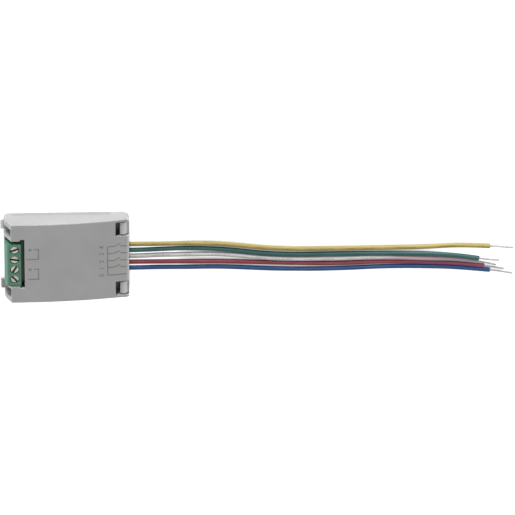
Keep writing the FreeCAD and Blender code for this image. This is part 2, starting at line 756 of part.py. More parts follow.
def build_solder_joints():
    """Cones of solder under the board, each round its lead's core or its terminal's leg."""
    joints = []
    places = [(f"core_{lead + 1}", TAIL_X, lead_y(lead)) for lead in range(SIZES["lead_count"])]
    places += [(f"leg_{pole + 1}", LEG_X, pole_y(pole)) for pole in range(SIZES["poles"])]
    for name, x, y in places:
        height = "(tail_under * 3 / 4)"
        cone = primitive(
            "Cone",
            f"solder_{name}",
            (x, y, f"{BOARD_BOTTOM} - {height}"),
            Radius1="joint_tip_radius",
            Radius2="joint_radius",
            Height=height,
        )
        if name.startswith("core"):
            bore = primitive(
                "Cylinder",
                f"bore_{name}",
                (x, y, f"{BOARD_BOTTOM} - tail_under"),
                Radius="core_radius + running_fit / 2",
                Height="2 * tail_under",
            )
        else:
            bore = primitive(
                "Box",
                f"bore_{name}",
                (
                    f"{x} - bar_thickness / 2 - running_fit / 2",
                    f"{y} - leg_width / 2 - running_fit / 2",
                    f"{BOARD_BOTTOM} - tail_under",
                ),
                Length="bar_thickness + running_fit",
                Width="leg_width + running_fit",
                Height="2 * tail_under",
            )
        joint = doc.addObject("Part::Cut", f"solder_ring_{name}")
        joint.Base = cone
        joint.Tool = bore
        joints.append(joint)
    return group("solder_joints", joints)


metal_legs = []
metal_ends = []


def seat(body, x, y, turn=0):
    """Puts a board part, built round the origin, at its place on the board. A plain number is a share
    of the board's back edge (x) or side edge (y), so that the parts keep their spread."""
    body.Placement.Rotation = FreeCAD.Rotation(FreeCAD.Vector(0, 0, 1), turn)
    for axis, place, edge in (("x", x, BOARD_BACK), ("y", y, BOARD_SIDE)):
        text = place if isinstance(place, str) else f"{place} * {edge}"
        body.setExpression(f"Placement.Base.{axis}", bound(text))
    return body


def package_body(label, package):
    """The moulded block of a board part, with its upper edges broken."""
    body = new_body(label)
    plan = new_sketch(body, f"{label}_plan", "XY_Plane", f"{BOARD_TOP} + package_lift")
    half_length, half_width = f"{package}_length / 2", f"{package}_width / 2"
    box_outline(plan, f"-{half_length}", half_length, f"-{half_width}", half_width)
    block = pad(body, plan, f"{package}_height - package_lift")
    top = f"{BOARD_TOP} + {package}_height"
    upper = edges_where(block, lambda box: near(box.ZMin, top))
    add(body, "Chamfer", f"{label}_edges", Base=(block, upper), Size="package_break")
    return body


def metal_body(label):
    """A body whose features may stand apart from each other."""
    body = new_body(label)
    body.AllowCompound = True
    return body


def add_legs(body, package, count, step, sides, sign="", breadth="leg_breadth"):
    """A row of bent legs along one long side, repeated round the part's axis for the other sides."""
    wing = new_sketch(
        body, f"{body.Label}_row{len(body.Group)}", "YZ_Plane", f"-({count} - 1) / 2 * {step} - {breadth} / 2"
    )
    edge = f"{package}_width / 2"
    toe = f"({edge} + leg_reach)"
    heel = f"({toe} - leg_foot)"
    low, high = f"({BOARD_TOP} + running_fit)", f"({BOARD_TOP} + leg_rise)"
    outline(
        wing,
        (f"{sign}({edge})", high),
        (f"{sign}({edge})", f"{high} + leg_metal"),
        (f"{sign}{heel}", f"{high} + leg_metal"),
        (f"{sign}({heel} + leg_metal)", f"{low} + leg_metal"),
        (f"{sign}{toe}", f"{low} + leg_metal"),
        (f"{sign}{toe}", low),
        (f"{sign}{heel}", low),
        (f"{sign}({heel} - leg_metal)", high),
    )
    leg = pad(body, wing, breadth)
    if count * sides == 1:
        return
    steps = []
    along, upright = (next(f for f in body.Origin.OriginFeatures if f.Role == role) for role in ("X_Axis", "Z_Axis"))
    many = body.newObject("PartDesign::MultiTransform", f"{wing.Name}_all")
    if count > 1:
        row = body.newObject("PartDesign::LinearPattern", f"{wing.Name}_line")
        row.Direction = (along, [""])
        row.setExpression("Length", bound(f"{count - 1} * {step}"))
        row.Occurrences = count
        steps.append(row)
    if sides > 1:
        ring = body.newObject("PartDesign::PolarPattern", f"{wing.Name}_ring")
        ring.Axis = (upright, [""])
        ring.Angle = 360
        ring.Occurrences = sides
        steps.append(ring)
    many.Originals = [leg]
    many.Transformations = steps
    body.Tip = many
    doc.recompute()


def leaded_part(label, package, rows, x, y, turn=0):
    """A moulded part with bent legs. Each row is (count, step, sides, sign, breadth)."""
    legs = metal_body(f"{label}_legs")
    for row in rows:
        add_legs(legs, package, *row)
    metal_legs.append(seat(legs, x, y, turn))
    return seat(package_body(label, package), x, y, turn)


def strapped_part(label, package, x, y, turn=0):
    """A moulded part whose flat terminals come out of its ends and turn down to the board."""
    straps = metal_body(f"{label}_straps")
    plan = new_sketch(straps, f"{label}_strap_plan", "XY_Plane", f"{BOARD_TOP} + running_fit")
    for sign in ("-", ""):
        box_outline(
            plan,
            f"{sign}{package}_length / 2",
            f"{sign}({package}_length / 2 + leg_metal)",
            f"-{package}_width * strap_share / 2",
            f"{package}_width * strap_share / 2",
        )
    pad(straps, plan, f"{package}_height / 2")
    metal_legs.append(seat(straps, x, y, turn))
    return seat(package_body(label, package), x, y, turn)


def chip_part(label, package, x, y, turn=0):
    """A ceramic chip between two plated ends that stand a little proud of it."""
    body = new_body(label)
    core = new_sketch(body, f"{label}_core", "XY_Plane", f"{BOARD_TOP} + running_fit + end_swell")
    half_length, half_width = f"{package}_length / 2", f"{package}_width / 2"
    inner = f"({half_length} - end_band)"
    box_outline(core, f"-{inner}", inner, f"-{half_width} + end_swell", f"{half_width} - end_swell")
    pad(body, core, f"{package}_height - running_fit - 2 * end_swell")
    caps = metal_body(f"{label}_caps")
    ends = new_sketch(caps, f"{label}_ends", "XY_Plane", f"{BOARD_TOP} + running_fit")
    for sign in ("-", ""):
        box_outline(ends, f"{sign}{half_length}", f"{sign}{inner}", f"-{half_width}", half_width)
    pad(caps, ends, f"{package}_height - running_fit")
    metal_ends.append(seat(caps, x, y, turn))
    return seat(body, x, y, turn)


def build_crystal(x, y, turn):
    """Ceramic tray with a welded metal lid."""
    body = package_body("quartz_crystal", "crystal")
    lid = new_sketch(body, "crystal_lid", "XY_Plane", f"{BOARD_TOP} + crystal_height")
    half_length, half_width = "(crystal_length / 2 - lid_inset)", "(crystal_width / 2 - lid_inset)"
    box_outline(lid, f"-{half_length}", half_length, f"-{half_width}", half_width)
    pad(body, lid, "lid_height")
    return keep(seat(body, x, y, turn))


def build_choke(x, y):
    """Shielded inductor: a round drum on a square foot."""
    body = new_body("choke")
    foot = new_sketch(body, "choke_foot", "XY_Plane", f"{BOARD_TOP} + running_fit")
    box_outline(foot, "-choke_length / 2", "choke_length / 2", "-choke_width / 2", "choke_width / 2")
    pad(body, foot, "choke_base")
    drum = new_sketch(body, "choke_drum", "XY_Plane", f"{BOARD_TOP} + running_fit")
    circle(drum, "0", "0", "choke_length / 2 - choke_inset")
    can = pad(body, drum, "choke_height")
    upper = edges_where(can, lambda box: near(box.ZMin, f"{BOARD_TOP} + running_fit + choke_height"))
    add(body, "Chamfer", "choke_edge", Base=(can, upper), Size="package_break * 2")
    return keep(seat(body, x, y))


def build_board_parts():
    """Everything soldered on the board's upper side."""
    both = ("", "leg_breadth")
    keep(leaded_part("microcontroller", "microcontroller", [(8, "0.8", 4, *both)], 0.055, 0.146))
    keep(leaded_part("bus_transceiver", "transceiver", [(4, "1.27", 2, *both)], -0.52, 0.49))
    keep(leaded_part("bridge_rectifier", "rectifier", [(2, "2.54", 2, "", "2 * leg_breadth")], -0.525, -0.49))
    tab = [(3, "1.5", 1, *both), (1, "1.5", 1, "-", "5 * leg_breadth")]
    keep(leaded_part("voltage_regulator", "regulator", tab, -0.165, -0.585))
    keep(strapped_part("buffer_capacitor", "tantalum", 0.3, -0.585))
    build_crystal(0.465, 0.22, 90)
    build_choke(-0.51, 0.0)

    resistors = [(x, 0.66, 0) for x in (-0.245, -0.08, 0.08, 0.245)]
    resistors += [(0.65, lead_y(lead), 0) for lead in range(SIZES["lead_count"])]
    capacitors = [(-0.295, 0.33, 90), (-0.295, -0.035, 90), (0.405, -0.175), (0.055, -0.315), (0.448, 0.547)]
    capacitors += [(-0.23, -0.87), (0.01, -0.87)]
    diodes = [(0.63, -0.62, 90), (0.775, -0.62, 90), (0.775, 0.575, 90)]
    transistors = [(0.01, 0.87), (-0.22, 0.87)]
    small = [(2, "1.9", 1, *both), (1, "1.9", 1, "-", "leg_breadth")]
    group("chip_resistors", [chip_part(f"resistor_{n}", "resistor", *at) for n, at in enumerate(resistors, 1)])
    group("chip_capacitors", [chip_part(f"capacitor_{n}", "capacitor", *at) for n, at in enumerate(capacitors, 1)])
    group("protection_diodes", [strapped_part(f"diode_{n}", "diode", *at) for n, at in enumerate(diodes, 1)])
    group(
        "transistors",
        [leaded_part(f"transistor_{n}", "transistor", small, *at) for n, at in enumerate(transistors, 1)],
    )
    group("component_legs", metal_legs)
    group("chip_end_caps", metal_ends)


# The free leads' courses over the table, in order from the end wall to the end of the insulation, and
# the place of each stripped tip. They were drawn for leads of this radius, with the first two points at
# the height of the exits.
DRAWN_RADIUS = 0.8
LEADS = {
    "yellow": [
        (21.8, 4.38, 3.0),
        (26.0, 4.38, 3.0),
        (32.0, 3.95, 2.35),
        (41.0, 3.4, 1.3),
        (54.0, 2.7, 0.8),
        (72.0, 0.2, 0.8),
        (92.0, 0.1, 0.8),
        (109.0, 0.25, 0.8),
        (123.0, 0.25, 0.8),
        (134.5, 0.95, 0.8),
        (144.7, 0.2, 0.8),
    ],
    "green": [
        (21.8, 2.04, 3.0),
        (26.0, 2.04, 3.0),
        (32.0, 1.9, 2.35),
        (41.0, 1.55, 1.3),
        (54.0, 0.6, 0.8),
        (72.0, -2.0, 0.8),
        (92.0, -1.9, 0.8),
        (109.0, -1.85, 0.95),
        (123.0, -1.95, 1.4),
        (134.5, -2.75, 1.8),
        (141.0, -3.85, 2.0),
    ],
    "white": [
        (21.8, -0.3, 3.0),
        (26.0, -0.3, 3.0),
        (32.0, -0.35, 2.35),
        (41.0, -1.0, 1.3),
        (54.0, -1.3, 0.8),
        (72.0, -3.75, 0.8),
        (92.0, -3.85, 0.8),
        (109.0, -3.45, 0.9),
        (123.0, -4.05, 1.2),
        (134.5, -4.35, 1.2),
        (140.5, -5.45, 1.2),
    ],
    "red": [
        (21.8, -2.64, 3.0),
        (26.0, -2.64, 3.0),
        (32.0, -3.1, 2.35),
        (41.0, -3.8, 1.3),
        (54.0, -4.25, 0.8),
        (72.0, -5.15, 0.8),
        (92.0, -5.85, 0.8),
        (109.0, -5.1, 0.8),
        (123.0, -5.7, 0.8),
        (134.5, -6.25, 0.8),
        (142.8, -7.55, 0.8),
    ],
    "blue": [
        (21.8, -4.98, 3.0),
        (26.0, -4.98, 3.0),
        (32.0, -5.25, 2.35),
        (41.0, -6.05, 1.3),
        (54.0, -6.35, 0.8),
        (72.0, -7.65, 0.8),
        (92.0, -7.9, 0.8),
        (109.0, -7.15, 0.8),
        (123.0, -7.4, 0.8),
        (134.5, -8.0, 0.8),
        (144.8, -9.3, 0.8),
    ],
}
TIPS = {
    "yellow": (152.9, -0.6, 0.7),
    "green": (148.1, -4.9, 1.8),
    "white": (147.0, -7.2, 1.0),
    "red": (149.9, -8.95, 0.7),
    "blue": (152.6, -10.8, 0.7),
}
# the share of the shorter run beside a bend that its arc takes up
BEND_SHARE = 0.45
# corners of the free leads' section and of the bare cores' section
LEAD_CORNERS = 12
CORE_CORNERS = 8


def drawn_place(lead, first, point, at_exit=False):
    """A drawn point moved along with the lead's exit, and lifted with the lead's thickness."""
    height = value("lead_height") if at_exit else point[2] - DRAWN_RADIUS + value("lead_radius")
    return FreeCAD.Vector(point[0] - first[0] + value(WIRE_END), point[1] - first[1] + value(lead_y(lead)), height)


def tube(label, corners, radius, sides):
    """A tube of many flats along straight runs that meet in tangent arcs."""
    edges = []
    bends = []
    start = corners[0]
    for before, corner, after in zip(corners, corners[1:], corners[2:]):
        arriving = (corner - before).normalize()
        leaving = (after - corner).normalize()
        reach = BEND_SHARE * min(corner.distanceToPoint(before), corner.distanceToPoint(after))
        turn = arriving.getAngle(leaving)
        bend = reach / math.tan(turn / 2)
        entry = corner - arriving * reach
        leave = corner + leaving * reach
        inward = (leaving - arriving).normalize()
        middle = corner + inward * (bend / math.cos(turn / 2) - bend)
        edges += [Part.LineSegment(start, entry).toShape(), Part.Arc(entry, middle, leave).toShape()]
        bends.append(bend)
        start = leave
    edges.append(Part.LineSegment(start, corners[-1]).toShape())
    spine = Part.Wire(edges)
    along = (corners[1] - corners[0]).normalize()
    across = along.cross(FreeCAD.Vector(0, 0, 1)).normalize()
    spokes = [FreeCAD.Rotation(along, 360 * (side + 0.5) / sides) for side in range(sides)]
    rim = [corners[0] + spoke.multVec(across) * radius for spoke in spokes]
    section = Part.makePolygon(rim + rim[:1])
    piece = doc.addObject("Part::Feature", label)
    piece.Shape = spine.makePipeShell([section], True, False)
    piece.Label = label
    section_area = sides / 2 * radius ** 2 * math.sin(2 * math.pi / sides)
    share = piece.Shape.Volume / (section_area * spine.Length)
    print(label, "length", round(spine.Length, 2), "smallest bend", round(min(bends), 1), "volume share", round(share, 4))
    print(label, "bends", [round(bend, 1) for bend in bends])
    return piece


def build_conductor_tails():
    """Stripped cores: each leaves its insulation level and bends down through the board."""
    tails = []
    for lead in range(SIZES["lead_count"]):
        stations = ((f"{WIRE_END} - strip_back", "lead_height"), (TAIL_X, "lead_height"), (TAIL_X, TAIL_BOTTOM))
        corners = [FreeCAD.Vector(value(x), value(lead_y(lead)), value(z)) for x, z in stations]
        tails.append(tube(f"core_{lead + 1}", corners, value("core_radius"), CORE_CORNERS))
    return group("conductor_tails", tails)


def build_leads():
    """Each lead's insulation inside the end wall, its free length, and the stripped strands at its end."""
    for lead, (colour, points) in enumerate(LEADS.items()):
        root = primitive(
            "Cylinder",
            f"wire_root_{colour}",
            (f"{WIRE_END} - strip_back", lead_y(lead), "lead_height"),
            Radius="lead_radius",
            Height="strip_back",
        )
        root.Placement.Rotation = ALONG_X
        keep(root)
        course = [drawn_place(lead, points[0], point, index < 2) for index, point in enumerate(points)]
        keep(tube(f"wire_{colour}", course, value("lead_radius"), LEAD_CORNERS))
        tip = drawn_place(lead, points[0], TIPS[colour])
        onward = (course[-1] - course[-2]).normalize() * (course[-1].distanceToPoint(tip) / 2)
        bare = [course[-1], course[-1] + onward, tip]
        keep(tube(f"bare_end_{colour}", bare, value("core_radius"), CORE_CORNERS))


build_cover()
build_tray()
build_board()
build_terminal_body()
for pole, slot_angle in enumerate((-50, 60, -8, 20)):
    build_screw(pole, slot_angle)
for pole in range(SIZES["poles"]):
    build_cage(pole)
for pole in range(SIZES["poles"]):
    build_contact(pole)
build_conductor_tails()
build_solder_joints()
build_board_parts()
build_leads()
doc.recompute()

broken = [item.Label for item in doc.Objects if {"Invalid", "Error"} & set(item.State)]
if broken:
    raise SystemExit(f"these objects failed: {broken}")
for piece in nodes:
    if piece.Shape.isNull() or not piece.Shape.isValid():
        raise SystemExit(f"{piece.Label} has no valid shape")
    print(piece.Label, round(piece.Shape.Volume, 3), len(piece.Shape.Solids), piece.Shape.BoundBox)

os.makedirs("parts", exist_ok=True)
for piece in nodes:
    piece.Shape.exportStep(f"parts/{piece.Label}.step")
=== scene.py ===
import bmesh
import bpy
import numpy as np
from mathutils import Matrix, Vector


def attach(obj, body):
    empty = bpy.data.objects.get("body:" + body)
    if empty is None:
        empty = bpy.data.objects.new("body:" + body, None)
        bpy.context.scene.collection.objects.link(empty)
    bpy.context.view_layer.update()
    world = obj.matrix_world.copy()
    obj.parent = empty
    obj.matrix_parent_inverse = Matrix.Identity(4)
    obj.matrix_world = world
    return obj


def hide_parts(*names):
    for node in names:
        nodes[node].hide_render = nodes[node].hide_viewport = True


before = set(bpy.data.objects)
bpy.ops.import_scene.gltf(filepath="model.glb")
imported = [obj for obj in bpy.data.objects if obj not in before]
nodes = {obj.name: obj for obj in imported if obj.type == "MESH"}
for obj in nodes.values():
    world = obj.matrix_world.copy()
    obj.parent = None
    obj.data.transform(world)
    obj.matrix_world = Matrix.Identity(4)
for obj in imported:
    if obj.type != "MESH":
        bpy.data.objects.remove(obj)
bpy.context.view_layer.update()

# %% [markdown]
# # Dressing a push-button interface module
# The real object is a flat grey moulded box that hides behind a wall switch. A green screw
# terminal stands in one end, and five thin coloured leads with stripped ends come out of the
# other. The rigid shapes are already in the loaded frame. This lesson turns the plain lead tubes
# into soft insulated wires with twisted strands, squares two corners of the case, gives every
# part its finish, and prints the wiring diagram on the label face.

MM = 0.001

# %% [markdown]
# ## Small helpers
# Colours are written as the hex values that a paint program shows, and Blender wants them linear,
# so one function converts them. The next one adds a shader node, sets its properties and fills
# its sockets: a plain value is typed in, and a socket of another node is linked. The other three
# carry points between arrays, meshes, and curves or text. Points could be added to a mesh one by
# one, but whole arrays are faster and read like the formula they come from.

# %% Colour and shader node helpers
WHITE = (1.0, 1.0, 1.0, 1.0)


def linear(hex_colour):
    """sRGB hex to linear RGBA: the lowest values are divided by 12.92, the rest follow a 2.4
    power."""
    channels = [int(hex_colour[i:i + 2], 16) / 255 for i in (1, 3, 5)]
    return [c / 12.92 if c <= 0.04045 else ((c + 0.055) / 1.055) ** 2.4 for c in channels] + [1.0]


def node(tree, kind, sockets=None, **settings):
    """Adds a node with its properties, then types values into its sockets or links them."""
    made = tree.nodes.new(kind)
    for key, setting in settings.items():
        setattr(made, key, setting)
    for key, given in (sockets or {}).items():
        if isinstance(given, bpy.types.NodeSocket):
            tree.links.new(given, made.inputs[key])
        else:
            made.inputs[key].default_value = given
    return made


print("mid grey in linear light:", round(linear("#808080")[0], 3))

# %% Mesh helpers


def new_mesh(name, points, faces, smooth=True):
    """A mesh object at the origin from an array of points and lists of corner numbers."""
    mesh = bpy.data.meshes.new(name)
    mesh.from_pydata(points.tolist(), [], [list(face) for face in faces])
    mesh.polygons.foreach_set("use_smooth", np.full(len(mesh.polygons), smooth))
    mesh.update()
    piece = bpy.data.objects.new(name, mesh)
    bpy.context.scene.collection.objects.link(piece)
    return piece


def points_of(mesh):
    """The places of a mesh's points, one row each."""
    flat = np.empty(len(mesh.vertices) * 3)
    mesh.vertices.foreach_get("co", flat)
    return flat.reshape(-1, 3)


def mesh_of(curve):
    """The mesh of a curve or text, taken from an object that exists only for a moment."""
    holder = bpy.data.objects.new(curve.name, curve)
    bpy.context.scene.collection.objects.link(holder)
    mesh = bpy.data.meshes.new_from_object(holder)
    bpy.data.objects.remove(holder)
    return mesh


print("helpers ready")

# %% [markdown]
# ## Camera
# The photograph was taken from above the box's long side, about 59 degrees up, from far enough
# away that nearly no perspective shows, and the picture is turned so that the near side is at the
# top. A constraint could aim the camera, but not tilt the picture as well, so its three axes are
# worked out here. A long lens at 2.4 metres gives the flat view, and its focal length follows
# from 2.938 pixels a millimetre at the target.

# %% Camera
AZIMUTH, ELEVATION, ROLL = np.radians([-3.6, 58.5, 3.9])
DISTANCE = 2.4
TARGET = np.array([65.55, -3.55, 0.0]) * MM
PIXELS_PER_MM = 2.938
IMAGE_PIXELS = 515
SENSOR = 36.0

back = np.array([
    np.cos(ELEVATION) * np.sin(AZIMUTH),
    np.cos(ELEVATION) * np.cos(AZIMUTH),
    np.sin(ELEVATION),
])
# the minus sign turns the picture by half a turn
level_up = np.array([0.0, 0.0, 1.0]) - back * back[2]
level_up *= -1 / np.linalg.norm(level_up)
level_right = np.cross(level_up, back)
up = np.cos(ROLL) * level_up + np.sin(ROLL) * level_right
right = np.cos(ROLL) * level_right - np.sin(ROLL) * level_up

camera = bpy.data.objects.new("camera", bpy.data.cameras.new("camera"))
camera.data.sensor_width = SENSOR
camera.data.lens = SENSOR * PIXELS_PER_MM * (DISTANCE / MM) / IMAGE_PIXELS
camera.matrix_world = Matrix.Translation(TARGET + back * DISTANCE) @ Matrix(
    np.column_stack([right, up, back]).tolist()
).to_4x4()
bpy.context.scene.collection.objects.link(camera)
bpy.context.scene.camera = camera
bpy.context.scene.view_settings.view_transform = "Standard"
print("lens in mm:", round(camera.data.lens, 1))

# %% [markdown]
# ## Light, table and background
# A product tent lights such a part: bright cloth at the sides, and a darker opening above for the
# camera. So the box's long side is lighter than the label face that looks up at the camera. Large
# area lamps could stand for the cloths, but their light would fall off along the leads. Wide suns
# are even: a strong low one for the bright side, a weaker one for the end with the terminal, and
# a faint one for the far side, with an even grey sky for the rest. Only one small softbox near
# the free ends is an area lamp, because the leads do grow brighter towards it. The table is white
# paper. A camera ray, or a ray that a shiny part mirrors, gets a little added white from it, so
# the picture's ground is white while the object's soft shadow stays.

# %% World
AMBIENT = 0.29


def seen_rays(tree):
    """1 for rays from the camera, from mirrors and through glass, and 0 for the rays that carry
    light: the greatest of the three flags."""
    paths = node(tree, "ShaderNodeLightPath").outputs
    seen = paths["Is Camera Ray"]
    for flag in ("Is Glossy Ray", "Is Transmission Ray"):
        pair = {0: seen, 1: paths[flag]}
        seen = node(tree, "ShaderNodeMath", pair, operation="MAXIMUM").outputs[0]
    return seen


world = bpy.data.worlds.new("tent")
world.use_nodes = True
tent = world.node_tree
tent.nodes.clear()
sky = node(tent, "ShaderNodeBackground", {"Color": WHITE, "Strength": AMBIENT})
ground = node(tent, "ShaderNodeBackground", {"Color": WHITE, "Strength": 1.0})
chosen = node(
    tent, "ShaderNodeMixShader", {0: seen_rays(tent), 1: sky.outputs[0], 2: ground.outputs[0]}
)
node(tent, "ShaderNodeOutputWorld", {"Surface": chosen.outputs[0]})
bpy.context.scene.world = world
print("sky strength:", AMBIENT)

# %% Lamps
# name, the direction it stands in (x, y), degrees above the table, irradiance, spread in degrees,
# colour
LAMPS = [
    ("side_cloth", (-0.1, 1.0), 10, 3.3, 24, (0.97, 0.975, 1.0)),
    ("end_cloth", (-1.0, -0.1), 9, 1.95, 40, (1.0, 1.0, 1.0)),
    ("far_cloth", (0.5, -1.0), 30, 0.2, 60, (1.0, 1.0, 1.0)),
]
SOFTBOX_PLACE = Vector((0.27, 0.10, 0.10))
SOFTBOX_AIM = Vector((0.12, 0.0, 0.0))
SOFTBOX_SIZE = 0.12
SOFTBOX_POWER = 0.26


def add_lamp(name, kind, strength, backwards):
    """A lamp that shines against the given direction."""
    lamp = bpy.data.objects.new(name, bpy.data.lights.new(name, kind))
    lamp.data.energy = strength
    lamp.rotation_mode = "QUATERNION"
    lamp.rotation_quaternion = backwards.to_track_quat("Z", "Y")
    bpy.context.scene.collection.objects.link(lamp)
    return lamp


for name, stands, height, strength, spread, tint in LAMPS:
    level = np.array(stands) / np.hypot(*stands) * np.cos(np.radians(height))
    sun = add_lamp(name, "SUN", strength, Vector((*level, np.sin(np.radians(height)))))
    sun.data.angle = np.radians(spread)
    sun.data.color = tint
softbox = add_lamp("lead_softbox", "AREA", SOFTBOX_POWER, SOFTBOX_PLACE - SOFTBOX_AIM)
softbox.data.size = SOFTBOX_SIZE
softbox.location = SOFTBOX_PLACE
print("lamps:", [lamp[0] for lamp in LAMPS] + [softbox.name])

# %% Table
TABLE_REACH = 3.0
PAPER_GLOW = 0.78
GAP_REACH = 0.9 * MM
GAP_SAMPLES = 12
corners = np.array([[-1, -1, 0], [1, -1, 0], [1, 1, 0], [-1, 1, 0]]) * TABLE_REACH
table = new_mesh("table_paper", corners, [(0, 1, 2, 3)], smooth=False)
white_paper = bpy.data.materials.new("white_paper")
white_paper.use_nodes = True
paper = white_paper.node_tree
paper.nodes.clear()
matt = node(paper, "ShaderNodeBsdfDiffuse", {"Color": linear("#E6E6E6")})
# painted shade: the added white fades in the narrow gaps between the leads, which light hardly
# reaches
gaps = node(paper, "ShaderNodeAmbientOcclusion", {"Distance": GAP_REACH}, samples=GAP_SAMPLES)
glow_share = node(
    paper, "ShaderNodeMath", {0: seen_rays(paper), 1: PAPER_GLOW}, operation="MULTIPLY"
)
glow_amount = node(
    paper, "ShaderNodeMath", {0: glow_share.outputs[0], 1: gaps.outputs["AO"]},
    operation="MULTIPLY",
)
glow = node(
    paper, "ShaderNodeEmission", {"Color": WHITE, "Strength": glow_amount.outputs[0]}
)
both = node(paper, "ShaderNodeAddShader", {0: matt.outputs[0], 1: glow.outputs[0]})
node(paper, "ShaderNodeOutputMaterial", {"Surface": both.outputs[0]})
table.data.materials.append(white_paper)
print("table reaches in m:", TABLE_REACH)

# %% [markdown]
# ## Routes of the five leads
# A lead is a fixed length of soft PVC-insulated wire, 1.6 mm thick, that leaves the box straight,
# sinks to the table and lies along it in a loose bundle. A Bezier curve could follow it, but its
# handles would have to be set one by one. Here each route is a handful of control points in
# millimetres, a quadratic NURBS spline runs smoothly between them, and Blender gives the points
# along it when the curve has no bevel.

# %% Control points
ROUTES = {
    "yellow": [
        (21.8, 4.38, 3.0), (26.0, 4.38, 3.0), (32.0, 3.95, 2.35), (41.0, 3.4, 1.3),
        (54.0, 2.7, 0.8), (72.0, 0.2, 0.8), (92.0, 0.1, 0.8), (109.0, 0.25, 0.8),
        (123.0, 0.25, 0.8), (134.5, 0.95, 0.8), (144.7, 0.2, 0.8),
    ],
    "green": [
        (21.8, 2.04, 3.0), (26.0, 2.04, 3.0), (32.0, 1.9, 2.35), (41.0, 1.55, 1.3),
        (54.0, 0.6, 0.8), (72.0, -2.0, 0.8), (92.0, -1.9, 0.8), (109.0, -1.85, 0.95),
        (123.0, -1.95, 1.4), (134.5, -2.75, 1.8), (141.0, -3.85, 2.0),
    ],
    "white": [
        (21.8, -0.3, 3.0), (26.0, -0.3, 3.0), (32.0, -0.35, 2.35), (41.0, -1.0, 1.3),
        (54.0, -1.3, 0.8), (72.0, -3.75, 0.8), (92.0, -3.85, 0.8), (109.0, -3.45, 0.9),
        (123.0, -4.05, 1.2), (134.5, -4.35, 1.2), (140.5, -5.45, 1.2),
    ],
    "red": [
        (21.8, -2.64, 3.0), (26.0, -2.64, 3.0), (32.0, -3.1, 2.35), (41.0, -3.8, 1.3),
        (54.0, -4.25, 0.8), (72.0, -5.15, 0.8), (92.0, -5.85, 0.8), (109.0, -5.1, 0.8),
        (123.0, -5.7, 0.8), (134.5, -6.25, 0.8), (142.8, -7.55, 0.8),
    ],
    "blue": [
        (21.8, -4.98, 3.0), (26.0, -4.98, 3.0), (32.0, -5.25, 2.35), (41.0, -6.05, 1.3),
        (54.0, -6.35, 0.8), (72.0, -7.65, 0.8), (92.0, -7.9, 0.8), (109.0, -7.15, 0.8),
        (123.0, -7.4, 0.8), (134.5, -8.0, 0.8), (144.8, -9.3, 0.8),
    ],
}
TIPS = {
    "yellow": (152.9, -0.6, 0.7),
    "green": (148.1, -4.9, 1.8),
    "white": (147.0, -7.2, 1.0),
    "red": (149.9, -8.95, 0.7),
    "blue": (152.6, -10.8, 0.7),
}
print("control points:", {colour: len(control) for colour, control in ROUTES.items()})

# %% Lines through them
SPLINE_STEPS = 24
STATION_STEP = 0.4 * MM
FEWEST_STATIONS = 8


def smooth_route(control):
    """Points along the quadratic NURBS spline whose control points are given in millimetres."""
    curve = bpy.data.curves.new("route", "CURVE")
    curve.dimensions = "3D"
    spline = curve.splines.new("NURBS")
    spline.points.add(len(control) - 1)
    places = np.column_stack([np.array(control) * MM, np.ones(len(control))])
    spline.points.foreach_set("co", places.ravel())
    spline.order_u = 3
    spline.use_endpoint_u = True
    spline.resolution_u = SPLINE_STEPS
    return points_of(mesh_of(curve))


def distances(line):
    """How far each point of a line is from its start, along the line."""
    return np.concatenate([[0], np.cumsum(np.linalg.norm(np.diff(line, axis=0), axis=1))])


def along_line(wanted, run, values):
    """Three-part values, known at the distances run, read off at the wanted distances."""
    return np.column_stack([np.interp(wanted, run, values[:, axis]) for axis in range(3)])


def even_stations(line, step):
    """The same line with its points about one step apart, and the distance of each from the
    start."""
    run = distances(line)
    stations = np.linspace(0, run[-1], max(FEWEST_STATIONS, int(round(run[-1] / step))))
    return along_line(stations, run, line), stations


lead_lines = {}
for colour, control in ROUTES.items():
    line, stations = even_stations(smooth_route(control), STATION_STEP)
    lead_lines[colour] = line, stations
    print(colour, "route in mm:", round(stations[-1] / MM, 2), "points:", len(line))

# %% [markdown]
# ## Insulation as a profile carried along the route
# The insulation is a circle carried along the route. At the stripped end the wire cutter leaves a
# flat ring with a slightly rounded rim and a hole for the strands, so the radius shrinks, steps
# back inside and closes there. A curve's own bevel would give the tube, but neither that end nor
# a pattern that follows the wire: for this every point keeps its place round and along the wire
# in an attribute. The same function makes the strands, which are thin closed rods.

# %% Directions along a line


def frames(line):
    """Unit vectors to the side and up from each point of a line that is never upright."""
    ahead = np.gradient(line, axis=0)
    ahead /= np.linalg.norm(ahead, axis=1)[:, None]
    side = np.cross(ahead, [0.0, 0.0, 1.0])
    side /= np.linalg.norm(side, axis=1)[:, None]
    return side, np.cross(side, ahead)


print("frames ready")

# %% Rings and walls of a tube


